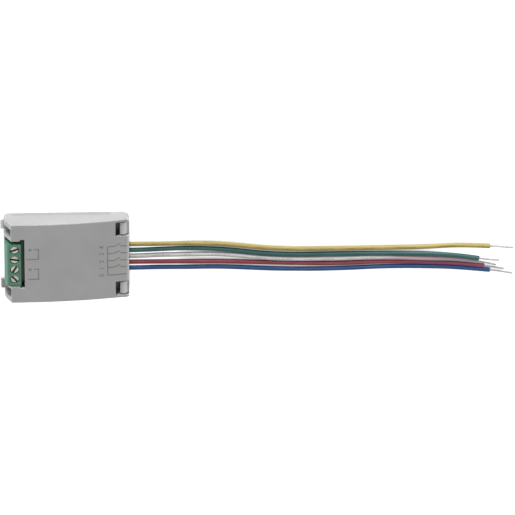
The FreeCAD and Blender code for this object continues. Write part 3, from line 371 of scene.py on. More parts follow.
def tube(line, stations, reach, radii, sides):
    """Circles of the given radii at the given distances along a line, and a point at each end.
    A point of a circle is centre + radius * (cos(angle) * side + sin(angle) * up)."""
    centre, side, upward = (
        along_line(reach, stations, values) for values in (line, *frames(line))
    )
    angles = np.arange(sides) / sides * 2 * np.pi - np.pi / 2
    spokes = np.cos(angles)[:, None] * side[:, None] + np.sin(angles)[:, None] * upward[:, None]
    rings = centre[:, None] + np.asarray(radii)[:, None, None] * spokes
    points = np.concatenate([rings.reshape(-1, 3), centre[:1], centre[-1:]])
    rim = np.arange(sides)
    next_on_rim = (rim + 1) % sides
    rows = np.arange(len(reach) - 1)[:, None] * sides
    first, turn = (rows + rim).ravel(), (rows + next_on_rim).ravel()
    walls = np.column_stack([first, turn, turn + sides, first + sides])
    last_row, start_pole, end_pole = rows[-1, 0] + sides, len(points) - 2, len(points) - 1
    start_fan = np.column_stack([next_on_rim, rim, np.full(sides, start_pole)])
    end_fan = np.column_stack([last_row + rim, last_row + next_on_rim, np.full(sides, end_pole)])
    lay = np.column_stack([
        np.outer(radii, np.cos(angles)).ravel(),
        np.outer(radii, np.sin(angles)).ravel(),
        np.repeat(reach, sides),
    ])
    lay = np.concatenate([lay, [[0, 0, reach[0]], [0, 0, reach[-1]]]])
    return points, walls.tolist() + start_fan.tolist() + end_fan.tolist(), lay


print("tube ready")

# %% Joined parts and the wire's own attribute


def join(parts):
    """Several sets of points, faces and further arrays as one: each set's corner numbers move on
    by the count of points before it."""
    starts = np.cumsum([0] + [len(part[0]) for part in parts[:-1]])
    faces = [
        [corner + start for corner in face]
        for start, part in zip(starts, parts) for face in part[1]
    ]
    points, *further = (
        np.concatenate(arrays) for arrays in zip(*((part[0], *part[2:]) for part in parts))
    )
    return points, faces, *further


def wire_mesh(name, shape):
    """A mesh object whose points carry the lay attribute."""
    points, faces, lay = shape
    piece = new_mesh(name, points, faces)
    attribute = piece.data.attributes.new("lay", "FLOAT_VECTOR", "POINT")
    attribute.data.foreach_set("vector", lay.ravel())
    return piece


print("wire ready")

# %% Leads
LEAD_RADIUS = 0.8 * MM
LEAD_SIDES = 28
BORE_RADIUS = 0.33 * MM
BORE_DEPTH = 0.8 * MM
RIM_ROUND = 0.09 * MM
RIM_KNEE = RIM_ROUND * 0.3
# drawn insulation is never quite even, so the radius wanders a little over some millimetres
WANDER = 0.01 * MM
WANDER_SLOW, WANDER_FAST = 7.3 * MM, 2.9 * MM
leads = {}
for colour, (line, stations) in lead_lines.items():
    end = stations[-1]
    body = stations[stations < end - RIM_ROUND - STATION_STEP / 2]
    wander = WANDER * np.sin(body / WANDER_SLOW) * np.sin(body / WANDER_FAST + len(colour))
    reach = np.concatenate([body, [end - RIM_ROUND, end - RIM_KNEE, end, end, end - BORE_DEPTH]])
    radii = np.concatenate([
        LEAD_RADIUS - WANDER + wander,
        [LEAD_RADIUS, LEAD_RADIUS - RIM_KNEE, LEAD_RADIUS - RIM_ROUND, BORE_RADIUS, BORE_RADIUS],
    ])
    leads[colour] = wire_mesh(f"lead_{colour}", tube(line, stations, reach, radii, LEAD_SIDES))
    print(leads[colour].name, "faces:", len(leads[colour].data.polygons))

# %% [markdown]
# ## Stripped ends
# Seven tinned strands of 0.22 mm are twisted together, one in the middle and six round it, with
# about one turn in 7 mm. They begin inside the insulation. Towards the tip the twist loosens a
# little and the strands end at slightly different places, as cut strands do. A modifier could
# twist a straight bundle, but it would end in one clean cut, so each strand is a thin rod along
# its own helix round the stripped end's line.

# %% Strands
STRAND_RADIUS = 0.11 * MM
STRANDS_ROUND = 6
STRAND_SIDES = 8
TWIST_LENGTH = 7.0 * MM
STRAND_STEP = 0.2 * MM
# how far back inside the insulation the line is led, in mm
INSIDE = np.array([[0.6], [0.4], [0.2]])
LOOSE_LENGTH = 2.5 * MM
LOOSENING = 0.35
LEAST_LOOSE = 0.3
# the most that a strand is cut short, in mm, and the shape of its cut end
CUT_SHORT = 0.45
CUT_CLEAR = 0.1 * MM
CUT_ROUND = 0.03 * MM
CUT_SHARE = 0.8
rng = np.random.default_rng(7)
strands = {}
for colour, control in ROUTES.items():
    end, tip, before = (np.array(p) for p in (control[-1], TIPS[colour], control[-2]))
    onward = (end - before) / np.linalg.norm(end - before) * np.linalg.norm(tip - end) / 2
    line, _ = even_stations(smooth_route([end, end + onward, tip]), STRAND_STEP)
    ahead = (line[1] - line[0]) / np.linalg.norm(line[1] - line[0])
    line = np.concatenate([line[0] - ahead * INSIDE * MM, line])
    stations = distances(line)
    side, upward = frames(line)
    opened = np.clip((stations - stations[-1] + LOOSE_LENGTH) / LOOSE_LENGTH, 0, 1) ** 2
    rods = []
    for strand in range(STRANDS_ROUND + 1):
        off_axis = 0.0 if strand == 0 else 2 * STRAND_RADIUS
        loosening = 1 + LOOSENING * rng.uniform(LEAST_LOOSE, 1.0) * opened
        angle = stations / TWIST_LENGTH * 2 * np.pi + strand * 2 * np.pi / STRANDS_ROUND
        outward = np.cos(angle)[:, None] * side + np.sin(angle)[:, None] * upward
        centre = line + off_axis * loosening[:, None] * outward
        run = distances(centre)
        stop = run[-1] - rng.uniform(0.0, CUT_SHORT) * MM
        reach = np.concatenate([run[run < stop - CUT_CLEAR], [stop - CUT_ROUND, stop]])
        radii = np.full(len(reach), STRAND_RADIUS)
        radii[-1] *= CUT_SHARE
        rods.append(tube(centre, run, reach, radii, STRAND_SIDES))
    strands[colour] = wire_mesh(f"strands_{colour}", join(rods))
    print(strands[colour].name, "faces:", len(strands[colour].data.polygons))

# %% [markdown]
# ## What the leads stand for
# A lead is neither a rigid part nor a joint, so the frame is told what it is: it moves with the
# module, and it takes the place of the plain tube.

# %% Leads declared
for colour in ROUTES:
    wire, bare = leads[colour], strands[colour]
    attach(wire, "module")
    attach(bare, "module")
    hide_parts(f"wire_{colour}")
    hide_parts(f"bare_end_{colour}")
print("leads declared:", list(leads))

# %% [markdown]
# ## A general finish
# Nearly every finish here has the same four layers: a colour that drifts a little over some
# millimetres, a fine grain that roughens the gloss, the same grain as a shallow bump, and edges
# that are a little rounded and worn lighter. Each material could have its own node tree, but then
# the same dozen nodes would be written twenty times. So one function builds them, and each
# material only gives its own numbers. The pattern sizes are in millimetres, and a noise's scale is
# one over its size in metres.

# %% Row of printed dashes
MARK_ROW = -0.22 * MM
MARK_HALF_HEIGHT = 0.17 * MM
# size of a stroke and of a group of strokes, and how strong the noise must be for ink there
MARK_SIZES = ((0.3 * MM, 0.5), (7.0 * MM, 0.47))
MARK_EDGE = 0.06


def printed_dashes(tree):
    """1 on the dashes of a row along the top of a wire: noise along the wire breaks the row into
    strokes, and coarser noise breaks it into groups."""
    lay = node(tree, "ShaderNodeAttribute", attribute_name="lay").outputs["Vector"]
    across, upward, along = node(tree, "ShaderNodeSeparateXYZ", {0: lay}).outputs
    row = {0: across, 1: MARK_ROW, 2: MARK_HALF_HEIGHT}
    mask = node(tree, "ShaderNodeMath", row, operation="COMPARE").outputs[0]
    raised = {0: mask, 1: upward}
    mask = node(tree, "ShaderNodeMath", raised, operation="MULTIPLY").outputs[0]
    mask = node(tree, "ShaderNodeMath", {0: mask, 1: 0.0}, operation="GREATER_THAN").outputs[0]
    for size, level in MARK_SIZES:
        place = node(tree, "ShaderNodeMath", {0: along, 1: size}, operation="DIVIDE").outputs[0]
        noise = {"W": place, "Scale": 1.0, "Detail": 0.0}
        strokes = node(tree, "ShaderNodeTexNoise", noise, noise_dimensions="1D").outputs[0]
        limits = {0: strokes, 1: level, 2: level + MARK_EDGE}
        inked = node(tree, "ShaderNodeMapRange", limits).outputs[0]
        mask = node(tree, "ShaderNodeMath", {0: mask, 1: inked}, operation="MULTIPLY").outputs[0]
    return mask


print("printed strokes in mm:", [round(size / MM, 1) for size, _ in MARK_SIZES])

# %% Masks for specks, worn edges and zones
SPECK_CORE = 0.6
# cosine of the bend at which wear begins on an edge, and at which it is full
WEAR_LIMITS = {1: 0.995, 2: 0.9}


def speck_mask(tree, place, spacing, share):
    """1 in small round specks: the distance to the nearest of many scattered points, the spacing
    in mm apart, is less than a share of it."""
    cell = node(tree, "ShaderNodeTexVoronoi", {"Vector": place, "Scale": 1 / (spacing * MM)})
    limits = {0: cell.outputs["Distance"], 1: share, 2: share * SPECK_CORE}
    return node(tree, "ShaderNodeMapRange", limits).outputs[0]


def worn_mask(tree, rounded, wear):
    """Grows to wear on an edge, where the rounded normal turns away from the plain one and the
    cosine between the two falls."""
    plain = node(tree, "ShaderNodeNewGeometry").outputs["Normal"]
    pair = {0: rounded, 1: plain}
    turned = node(tree, "ShaderNodeVectorMath", pair, operation="DOT_PRODUCT").outputs["Value"]
    limits = {0: turned, **WEAR_LIMITS, 4: wear}
    return node(tree, "ShaderNodeMapRange", limits).outputs[0]


def zone_mask(tree, ranges):
    """1 where every range (axis, start, end) in mm has been passed: the product of all ranges."""
    place = node(tree, "ShaderNodeTexCoord").outputs["Object"]
    axes = node(tree, "ShaderNodeSeparateXYZ", {0: place}).outputs
    mask = 1.0
    for axis, start, end in ranges:
        limits = {0: axes[axis], 1: start * MM, 2: end * MM}
        pair = {0: node(tree, "ShaderNodeMapRange", limits).outputs[0], 1: mask}
        mask = node(tree, "ShaderNodeMath", pair, operation="MULTIPLY").outputs[0]
    return mask


print("full wear at a bend in degrees:", round(float(np.degrees(np.arccos(WEAR_LIMITS[2])))))

# %% Finish function
DRIFT_LIMITS = {1: 0.35, 2: 0.65}
GRAIN_LIMITS = {1: 0.3, 2: 0.7}
EDGE_SAMPLES = 6


def finish(name, dark, light, rough, mottle, grain, depth, edge=0.12, worn=None, wear=0.5,
           lay=False, stretch=(1, 1, 1), speck=None, marks=None, zones=(), shader=None):
    """A material from a dark and a light tone, a roughness range, the sizes in mm of mottle and
    grain, the grain's depth in mm, the edge radius in mm and the colour of worn edges. With lay it
    follows the wire's own attribute. speck is (spacing in mm, share, colour), and marks is the
    colour of a row of printed dashes along a wire. Each zone is (colour, ranges): the colour comes
    in where every range (axis, start, end) in mm has been passed, and a metal is dull there.
    shader holds plain values for the shader's own sockets."""
    material = bpy.data.materials.new(name)
    material.use_nodes = True
    tree = material.node_tree
    tree.nodes.clear()
    if lay:
        place = node(tree, "ShaderNodeAttribute", attribute_name="lay").outputs["Vector"]
    else:
        place = node(tree, "ShaderNodeTexCoord").outputs["Object"]
    place = node(tree, "ShaderNodeMapping", {"Vector": place, "Scale": stretch}).outputs[0]
    coarse = {"Vector": place, "Scale": 1 / (mottle * MM), "Detail": 4.0}
    drift = node(tree, "ShaderNodeTexNoise", coarse).outputs[0]
    drift = node(tree, "ShaderNodeMapRange", {0: drift, **DRIFT_LIMITS}).outputs[0]
    tones = {0: drift, 6: linear(dark), 7: linear(light)}
    colour = node(tree, "ShaderNodeMix", tones, data_type="RGBA").outputs[2]

    # each layer is a mask and the colour that comes in there, from the lowest layer up
    rounded = node(tree, "ShaderNodeBevel", {"Radius": edge * MM}, samples=EDGE_SAMPLES).outputs[0]
    layers = []
    if speck:
        spacing, share, speck_colour = speck
        layers.append((speck_mask(tree, place, spacing, share), speck_colour))
    if marks:
        layers.append((printed_dashes(tree), marks))
    if worn:
        layers.append((worn_mask(tree, rounded, wear), worn))
    covered = None
    for zone_colour, ranges in zones:
        covered = zone_mask(tree, ranges)
        layers.append((covered, zone_colour))
    for mask, layer_colour in layers:
        tones = {0: mask, 6: colour, 7: linear(layer_colour)}
        colour = node(tree, "ShaderNodeMix", tones, data_type="RGBA").outputs[2]

    fine = {"Vector": place, "Scale": 1 / (grain * MM), "Detail": 3.0}
    fine = node(tree, "ShaderNodeTexNoise", fine).outputs[0]
    limits = {0: fine, **GRAIN_LIMITS, 3: rough[0], 4: rough[1]}
    sheen = node(tree, "ShaderNodeMapRange", limits).outputs[0]
    bump = {"Height": fine, "Distance": depth * MM, "Normal": rounded}
    bumped = node(tree, "ShaderNodeBump", bump).outputs[0]
    sockets = {"Base Color": colour, "Roughness": sheen, "Normal": bumped, **(shader or {})}
    if covered is not None and "Metallic" in sockets:
        bare = node(tree, "ShaderNodeMath", {0: 1.0, 1: covered}, operation="SUBTRACT")
        sockets["Metallic"] = bare.outputs[0]
    surface = node(tree, "ShaderNodeBsdfPrincipled", sockets)
    node(tree, "ShaderNodeOutputMaterial", {"Surface": surface.outputs[0]})
    return material


def dress(material, *pieces):
    """Gives a material to CAD nodes, by name, or to new pieces."""
    for piece in pieces:
        mesh = (nodes[piece] if isinstance(piece, str) else piece).data
        mesh.materials.clear()
        mesh.materials.append(material)
    print(material.name, "on", len(pieces), "pieces")


METAL = {"Metallic": 1.0}
print("finish ready")

# %% [markdown]
# ## Corners over the leads
# The two corners of the case over the leads are round at the table and nearly square at the label
# face. The frame's case is round there at every height. So a merged copy of each half of the case
# is reshaped and stands for it: each point of a corner moves away from the middle of its round,
# and on the label face it follows the curve of the face down. A Boolean could add the missing
# edge, but moving the points keeps the wall and its inside in step. The snap windows beside the
# corners are also a little wider in the copies, and so are the snap arms in them.

# %% Shape of a corner and of the label face
# the label face, in mm: where its curve starts, the radius of the curve, and its greatest height
CROWN_START = -14.2
CROWN_RADIUS = 211.93
COVER_HEIGHT = 8.0
ROUND = 2.3 * MM
SHARP = 0.8 * MM


def face_height(x):
    """Height of the label face in mm: flat, then a circle:
    top - R + sqrt(R^2 - (x - start)^2)."""
    along = np.maximum(x - CROWN_START, 0)
    return COVER_HEIGHT - CROWN_RADIUS + np.sqrt(CROWN_RADIUS ** 2 - along ** 2)


def square_reach(angles):
    """How far a square of side ROUND reaches at each angle when its corner is a circle of radius
    SHARP about (c, c). That is ROUND / max(cos, sin) on its sides, and
    c (cos + sin) + sqrt(c^2 (cos + sin)^2 - 2 c^2 + SHARP^2) on the circle."""
    c = ROUND - SHARP
    both = c * (np.cos(angles) + np.sin(angles))
    circle = both + np.sqrt(np.maximum(both ** 2 - 2 * c ** 2 + SHARP ** 2, 0))
    sides = ROUND / np.maximum(np.cos(angles), np.sin(angles))
    return np.where(np.minimum(np.tan(angles), 1 / np.tan(angles)) > c / ROUND, circle, sides)


print("corner reaches in mm:", round(float(square_reach(np.radians(45))) / MM, 2))

# %% Merged copy of a CAD node
MERGE_REACH = 0.001 * MM


def merged_copy(name):
    """Points and faces of a CAD node, whose mesh is loose triangles, with its doubles merged."""
    work = bmesh.new()
    work.from_mesh(nodes[name].data)
    bmesh.ops.remove_doubles(work, verts=work.verts, dist=MERGE_REACH)
    merged = bpy.data.meshes.new("merged")
    work.to_mesh(merged)
    work.free()
    return points_of(merged), [list(polygon.vertices) for polygon in merged.polygons]


print("points of the cover, loose:", len(nodes["top_cover"].data.vertices))

# %% Square corners and wider windows
CASE_END = 21.8 * MM
CASE_SIDE = 15.4 * MM
ROUND_TOP = 3.0 * MM
FACE_FROM = 4.0 * MM
# distances from the case's middle, in mm, to the sides of a window: in the frame and in the copies
FRAME_SIDES = (0.0, 7.5, 9.1, 14.1, 15.4)
WIDER_SIDES = (0.0, 7.5, 8.9, 14.5, 15.4)
WINDOWS_FROM = 15.0 * MM
WINDOWS_FULL = 16.5 * MM
CORNER_FROM = 0.01 * MM
SMOOTH_BELOW = np.radians(12)


def square_corners(name):
    """A merged copy of a half of the case whose windows are wider, and whose corners over the
    leads grow square between the table and ROUND_TOP."""
    points, faces = merged_copy(name)
    along = points[:, 0] - (CASE_END - ROUND)
    across = np.abs(points[:, 1]) - (CASE_SIDE - ROUND)
    corner = (along > CORNER_FROM) & (across > CORNER_FROM)
    square = square_reach(np.arctan2(across[corner], along[corner])) / ROUND
    growth = (square - 1) * np.clip(points[corner, 2] / ROUND_TOP, 0, 1)
    moved = points.copy()
    moved[corner, 0] += growth * along[corner]
    moved[corner, 1] += growth * across[corner] * np.sign(points[corner, 1])
    drop = (face_height(moved[:, 0] / MM) - face_height(points[:, 0] / MM)) * MM
    moved[:, 2] += np.where(points[:, 2] > FACE_FROM, drop, 0)
    sides = np.abs(moved[:, 1])
    share = np.clip((moved[:, 0] - WINDOWS_FROM) / (WINDOWS_FULL - WINDOWS_FROM), 0, 1)
    wider = np.interp(sides / MM, FRAME_SIDES, WIDER_SIDES) * MM
    moved[:, 1] += np.sign(moved[:, 1]) * share * (wider - sides)
    half = new_mesh(f"{name}_dressed", moved, faces)
    half.data.set_sharp_from_angle(angle=SMOOTH_BELOW)
    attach(half, "module")
    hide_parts(name)
    print(half.name, "points:", len(points), "in the corners:", int(corner.sum()))
    print("greatest move in mm:", round(np.abs(moved - points).max() / MM, 2))
    return half


cover_half = square_corners("top_cover")
tray_half = square_corners("base_tray")

# %% [markdown]
# ## Case and terminal
# The cover and tray are injection-moulded polycarbonate blend: light grey, satin, with edges that
# catch the light. The terminal is glass-filled polyamide, a colder and slightly glossier green. A
# single flat colour would look like a toy, so the tones drift, and painted highlights and painted
# shade are laid over them as zones in millimetres.

# %% Case and terminal
# a spark-eroded mould leaves a fine even skin: no mirror image, only a soft sheen
# a painted highlight lightens the label face along its edge over the leads
PAINTED_EDGE_HIGHLIGHT = [("#CECECD", [("X", 20.9, 21.6), ("Z", 4.0, 4.4)])]
housing = finish(
    "moulded_polycarbonate_blend", "#A7A7A7", "#ADADAC", (0.42, 0.58), mottle=9.0, grain=0.35,
    depth=0.006, edge=0.15, worn="#C4C4C3", wear=0.35, zones=PAINTED_EDGE_HIGHLIGHT, shader={"IOR": 1.58},
)
dress(housing, cover_half)
# the same blend from another mould, a shade darker and duller; painted highlights lighten its snap
# arms towards their hooks and one end lug, and painted shade darkens the other end lug
TRAY_PAINTED_LIGHT_AND_SHADE = [
    ("#D6D6D6", [("Z", 4.0, 4.5), ("X", 18.2, 20.6)]),
    ("#D0D0D1", [("X", -20.5, -20.8), ("Y", 9.0, 10.0)]),
    ("#939395", [("X", -20.5, -20.8), ("Y", -9.0, -10.0)]),
]
tray = finish(
    "moulded_polycarbonate_blend_tray", "#9C9C9E", "#A5A5A6", (0.45, 0.6), mottle=9.0, grain=0.35,
    depth=0.008, edge=0.15, worn="#BDBDBD", wear=0.35, zones=TRAY_PAINTED_LIGHT_AND_SHADE, shader={"IOR": 1.58},
)
dress(tray, tray_half)
# glass fibres under the skin of the polyamide give a slight unevenness and paler edges
# painted shade on the low step behind the screws, painted highlight on the wire-entry face
TERMINAL_PAINTED_LIGHT_AND_SHADE = [
    ("#355347", [("Z", 5.8, 5.6), ("X", -15.4, -15.1)]),
    ("#558A72", [("X", -19.4, -19.9)]),
]
terminal = finish(
    "moulded_green_polyamide", "#44775F", "#53866D", (0.35, 0.5), mottle=3.0, grain=0.3,
    depth=0.008, edge=0.15, worn="#7DB096", wear=0.5, zones=TERMINAL_PAINTED_LIGHT_AND_SHADE, shader={"IOR": 1.53},
)
dress(terminal, "terminal_body")

# %% [markdown]
# ## Metal of the terminal
# The screws are nickel-plated steel, turned and then barrel-plated, so they gleam softly; their
# slots keep dirt, with painted shade over it. The cages are bent from plated strip, and the
# current bars are stamped from tinned copper alloy. A brushed texture could be painted on, but at
# this size a grain that is stretched along the strip already reads as rolled metal.

# %% Metal of the terminal
# yellowish nickel with bright edges, and brown dirt with painted shade in the slots and round the
# heads
SLOT_DIRT_AND_SHADE = [("#543B33", [("Z", 7.3, 7.22)])]
screw_metal = finish(
    "nickel_plated_steel", "#A8A699", "#BDBBAF", (0.28, 0.42), mottle=0.8, grain=0.12,
    depth=0.006, edge=0.08, worn="#DEDCD2", wear=0.6, zones=SLOT_DIRT_AND_SHADE, shader=METAL,
)
dress(screw_metal, *[f"terminal_screw_{pole}" for pole in range(1, 5)])
# rolled strip, duller than the screws
cage_metal = finish(
    "stamped_plated_steel", "#A8A49A", "#BDB9AF", (0.35, 0.5), mottle=1.2, grain=0.15,
    depth=0.008, stretch=(1, 1, 4), edge=0.05, worn="#D8D4CA", shader=METAL,
)
dress(cage_metal, *[f"terminal_cage_{pole}" for pole in range(1, 5)])
# grey tin, worn to a warm copper tone on the edges
bar_metal = finish(
    "tinned_copper_alloy", "#B9B2A2", "#CBC5B8", (0.3, 0.45), mottle=1.0, grain=0.15,
    depth=0.006, stretch=(0.3, 1, 1), edge=0.05, worn="#DDC9A6", shader=METAL,
)
dress(bar_metal, *[f"terminal_contact_{pole}" for pole in range(1, 5)], "component_legs")

# %% [markdown]
# ## Inside the box
# Behind the windows the circuit board shows only as a dark edge. One dark finish for everything
# inside would do for that view, but the module can be opened in a later scene, so each part gets
# what the real one has: dark grey solder mask over woven glass, black moulding compound, bright
# solder, ferrite and ceramic.

# %% Board and moulded parts
# a thin lacquer that lets the weave of the glass show as small bumps, with raw edges
board = finish(
    "solder_mask_on_glass_epoxy", "#646665", "#707271", (0.25, 0.42), mottle=1.6, grain=0.5,
    depth=0.012, edge=0.05, worn="#5E5A44", wear=0.5, shader={"IOR": 1.55},
)
dress(board, "circuit_board")
# transfer-moulded epoxy full of silica: matt, almost black, grey on the edges
compound = finish(
    "black_moulding_compound", "#1B1B1C", "#262627", (0.5, 0.7), mottle=0.6, grain=0.12,
    depth=0.01, edge=0.05, worn="#4A4A4B", shader={"IOR": 1.55},
)
dress(
    compound, "microcontroller", "bus_transceiver", "bridge_rectifier", "voltage_regulator",
    "protection_diodes", "transistors",
)
# the same kind of moulding in the orange that tells a tantalum capacitor
tantalum = finish(
    "orange_tantalum_moulding", "#C07A20", "#D08C2E", (0.4, 0.55), mottle=1.0, grain=0.12,
    depth=0.008, edge=0.06, worn="#E2AC5E", shader={"IOR": 1.55},
)
dress(tantalum, "buffer_capacitor")

# %% Metal, ferrite and ceramic parts
# a thin seam-welded lid, smooth and bright
lid = finish(
    "welded_nickel_lid", "#B8B4AA", "#CCC8BE", (0.2, 0.35), mottle=1.5, grain=0.1, depth=0.004,
    edge=0.05, worn="#E4E0D8", shader=METAL,
)
dress(lid, "quartz_crystal")
# pressed and fired iron oxide: dark, matt and a little pitted
ferrite = finish(
    "pressed_ferrite", "#2C2C30", "#3A3A3E", (0.55, 0.75), mottle=0.5, grain=0.1, depth=0.012,
    edge=0.06, worn="#5A5A5E", shader={"IOR": 1.6},
)
dress(ferrite, "choke")
# a black glaze over white ceramic, which shows on the edges
resistor_body = finish(
    "glazed_black_resistor", "#202022", "#2E2E30", (0.3, 0.45), mottle=0.4, grain=0.08,
    depth=0.004, edge=0.03, worn="#E8E6E0", wear=0.6, shader={"IOR": 1.6},
)
dress(resistor_body, "chip_resistors")
# fired brown ceramic without a glaze, dull and even
capacitor_body = finish(
    "fired_barium_titanate", "#8C6A46", "#9E7B55", (0.4, 0.55), mottle=0.4, grain=0.08,
    depth=0.004, edge=0.04, worn="#B5926A", shader={"IOR": 1.7},
)
dress(capacitor_body, "chip_capacitors")
# tin alloy that froze from the melt: bright, with a slightly wavy skin
solder = finish(
    "reflowed_solder", "#B5B7BA", "#CFD1D4", (0.16, 0.34), mottle=0.4, grain=0.1, depth=0.01,
    edge=0.06, worn="#E6E8EA", shader=METAL,
)
dress(solder, "solder_joints", "chip_end_caps")

# %% [markdown]
# ## Finish of the leads
# Equipment wire has soft PVC insulation: a saturated but dusty colour, a dull gloss, faint streaks
# along its length from the extruder, and now and then a dark speck. Object coordinates would cut
# straight through the bends, so the pattern follows each wire by its lay attribute, stretched
# along the wire.

# %% Insulation and strands
# dark tone, light tone, worn edge and speck
SHEATHS = {
    "yellow": ("#968646", "#A69454", "#C2B278", "#66542A"),
    "green": ("#234B4A", "#2E5857", "#608A88", "#122E2C"),
    "white": ("#BBBAB8", "#CAC9C6", "#DADAD8", "#66635C"),
    "red": ("#722B33", "#83373F", "#AC6B71", "#3C1418"),
    "blue": ("#1A3E6D", "#254B7C", "#5C7FAC", "#0C1E38"),
}
# spacing of the dark specks in mm, and their radius as a share of it
SPECK_SPACING = 1.4
SPECKS = {"yellow": 0.1, "green": 0.05, "white": 0.08, "red": 0.07, "blue": 0.05}
# two of the leads carry a row of small printed dashes
MARKS = {"yellow": "#5E5128", "white": "#7A7979"}
# towards the free ends the red lead turns a lighter, more purple red, and the white one, which
# lies against it, gets a painted shade with a pink tint of the red
FREE_END_SHADE_AND_TINT = {
    "red": [("#86455F", [("X", 95.0, 145.0)])],
    "white": [("#AA979C", [("X", 102.0, 114.0)])],
}
# extruded soft PVC: the plasticiser keeps it dull, so its highlights are broad and weak
for colour, (dark, light, worn, speck_colour) in SHEATHS.items():
    sheath = finish(
        f"{colour}_pvc_insulation", dark, light, (0.36, 0.52), mottle=0.9, grain=0.25,
        depth=0.008, lay=True, stretch=(1, 1, 0.12), edge=0.06, worn=worn, wear=0.3,
        speck=(SPECK_SPACING, SPECKS[colour], speck_colour), marks=MARKS.get(colour),
        zones=FREE_END_SHADE_AND_TINT.get(colour, ()), shader={"IOR": 1.53, "Specular IOR Level": 0.35},
    )
    dress(sheath, leads[colour], f"wire_root_{colour}")
# drawn copper dipped in tin: grey and bright, with faint lines along each strand
tinned = finish(
    "tinned_copper_strand", "#969695", "#AAAAA8", (0.3, 0.45), mottle=0.5, grain=0.08,
    depth=0.004, lay=True, stretch=(1, 1, 0.2), edge=0.03, worn="#C4C0B8", wear=0.2, shader=METAL,
)
dress(tinned, *strands.values(), "conductor_tails")

# %% [markdown]
# ## Printed diagram
# The label face carries a small pad-printed diagram in grey ink: a bracket beside each pair of
# terminal screws, and at the other end four switch signs on a common line, with the leads'
# numbers. A material could paint the lines, but it would need a picture or a long sum of masks.
# Here each line is a flat ribbon that lies on the face, and the ink is a few hundredths of a
# millimetre thick, so that it shows from every side.

# %% Ribbon on the label face
# all sizes of the print are in mm
INK_HEIGHT = 0.03
INK_ROOT = 0.04
LINE_WIDTH = 0.4
RIBBON_STEP = 0.4


def ribbon(corners, width):
    """A flat closed band along a broken line on the label face, with mitred corners. A band's
    edges are the line moved half a width along the mean of the two runs' normals, divided by its
    length squared."""
    runs = [
        np.linspace(a, b, max(2, int(np.hypot(*np.subtract(b, a)) / RIBBON_STEP)), endpoint=False)
        for a, b in zip(corners[:-1], corners[1:])
    ]
    line = np.concatenate(runs + [[corners[-1]]])
    ahead = np.diff(line, axis=0)
    ahead /= np.linalg.norm(ahead, axis=1)[:, None]
    normals = np.column_stack([-ahead[:, 1], ahead[:, 0]])
    mean = (np.concatenate([normals[:1], normals]) + np.concatenate([normals, normals[-1:]])) / 2
    mean /= (mean ** 2).sum(axis=1)[:, None]
    flat = np.concatenate([line + mean * width / 2, line - mean * width / 2])
    height = face_height(flat[:, 0])
    points = np.concatenate([
        np.column_stack([flat, height + INK_HEIGHT]),
        np.column_stack([flat, height - INK_ROOT]),
    ]) * MM
    count = len(line)
    a = np.arange(count - 1)
    top = np.column_stack([a, a + count, a + count + 1, a + 1])
    low = top[:, ::-1] + 2 * count
    left_wall = np.column_stack([a, a + 1, a + 1 + 2 * count, a + 2 * count])
    right_wall = np.column_stack([a + count + 1, a + count, a + 3 * count, a + 3 * count + 1])
    caps = np.array([
        [0, 2 * count, 3 * count, count],
        [count - 1, 2 * count - 1, 4 * count - 1, 3 * count - 1],
    ])
    return points, np.concatenate([top, low, left_wall, right_wall, caps]).tolist()


print("ink stands above the face in mm:", INK_HEIGHT)

# %% Diagram
SWITCH_ROWS = (5.25, 2.5, -0.3, -3.0)
COMMON_ROW = -6.0
BUS_X = 14.45
LINES_END = 21.0
# the moving arm of a switch: where it starts, how long it is, how far it rises and how it bends
ARM_START, ARM_LENGTH, ARM_RISE, ARM_BEND = 16.2, 2.45, 1.0, 1.6
ARM_DROP = 0.02
CONTACT_X = 18.8
# the lines on the photographed face run very slightly aslant
CONTACT_SLANT, COMMON_SLANT = 0.22, 0.05
BRACKETS = [
    [(-10.5, 5.75), (-9.0, 5.72), (-9.0, 1.85), (-12.95, 1.88)],
    [(-10.45, -2.05), (-9.0, -2.07), (-9.0, -6.02), (-12.7, -6.0)],
]
# a plus sign marks the first screw of each pair
PLUS_SIGNS = ((-11.85, 5.6), (-11.9, -2.2))
PLUS_REACH = 0.6

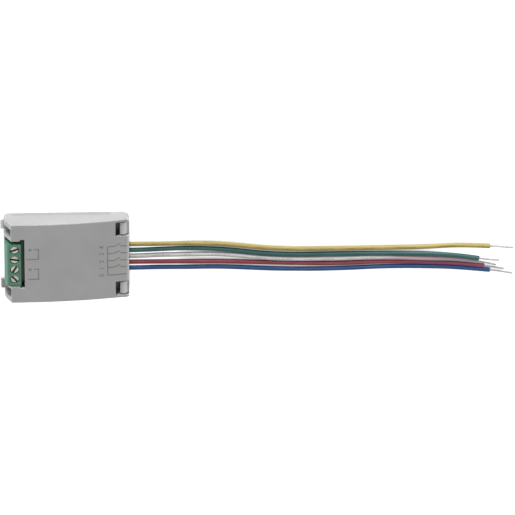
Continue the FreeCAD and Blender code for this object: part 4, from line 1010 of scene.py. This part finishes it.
lines = [[(BUS_X, SWITCH_ROWS[0]), (BUS_X, COMMON_ROW), (LINES_END, COMMON_ROW - COMMON_SLANT)]]
for row in SWITCH_ROWS:
    # the arm's height is its rise times the share of its length to a power, so it bends upwards
    arm = [
        (ARM_START + ARM_LENGTH * t, row - ARM_DROP + ARM_RISE * t ** ARM_BEND)
        for t in np.linspace(0, 1, 9)
    ]
    lines.append([(BUS_X + LINE_WIDTH / 2, row), *arm])
    lines.append([(CONTACT_X, row), (LINES_END, row - CONTACT_SLANT)])
lines += BRACKETS
for x, y in PLUS_SIGNS:
    lines.append([(x - PLUS_REACH, y), (x + PLUS_REACH, y)])
    lines.append([(x, y - PLUS_REACH), (x, y - LINE_WIDTH / 2)])
    lines.append([(x, y + LINE_WIDTH / 2), (x, y + PLUS_REACH)])
points, faces = join([ribbon(np.array(line), LINE_WIDTH) for line in lines])
diagram = new_mesh("printed_diagram", points, faces, smooth=False)
print("printed lines:", len(lines))

# %% [markdown]
# ## Printed numbers
# The numbers stand sideways, with their tops towards the terminal. They could be drawn as ribbons
# too, but Blender's own plain font has rounder shapes. It is turned into a mesh while it is still
# flat at the origin, and its points are then laid on the curved face.

# %% Numbers
DIGIT_HEIGHT = 1.7
# height of a digit as a share of the font's size
FONT_SHARE = 0.7
FONT_SPREAD = 0.01
FONT_STEPS = 6
DIGIT_X = 12.5
NUMBERS = (("4", 5.25), ("3", 2.55), ("2", -0.4), ("1", -3.15), ("0", -5.95))
INK_HALF = (INK_HEIGHT + INK_ROOT) / 2


def printed_number(text, y):
    """One digit, a quarter turn from upright, as points and faces on the label face."""
    letter = bpy.data.curves.new("number", "FONT")
    letter.body = text
    letter.size = DIGIT_HEIGHT / FONT_SHARE
    letter.align_x, letter.align_y = "CENTER", "CENTER"
    letter.extrude = INK_HALF
    letter.offset = FONT_SPREAD
    letter.resolution_u = FONT_STEPS
    mesh = mesh_of(letter)
    flat = points_of(mesh)
    x, across = DIGIT_X - flat[:, 1], y + flat[:, 0]
    height = face_height(x) + INK_HEIGHT - INK_HALF + flat[:, 2]
    faces = [list(polygon.vertices) for polygon in mesh.polygons]
    return np.column_stack([x, across, height]) * MM, faces


points, faces = join([printed_number(*number) for number in NUMBERS])
numbers = new_mesh("printed_numbers", points, faces, smooth=False)
# pad-printing ink: a thin grey film, duller than the plastic under it
ink = finish(
    "pad_printed_grey_ink", "#83827D", "#8E8D88", (0.5, 0.65), mottle=1.5, grain=0.2,
    depth=0.004, edge=0.02, worn="#8C8B88", wear=0.3, shader={"IOR": 1.5},
)
dress(ink, diagram, numbers)
for printed in (diagram, numbers):
    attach(printed, "module")
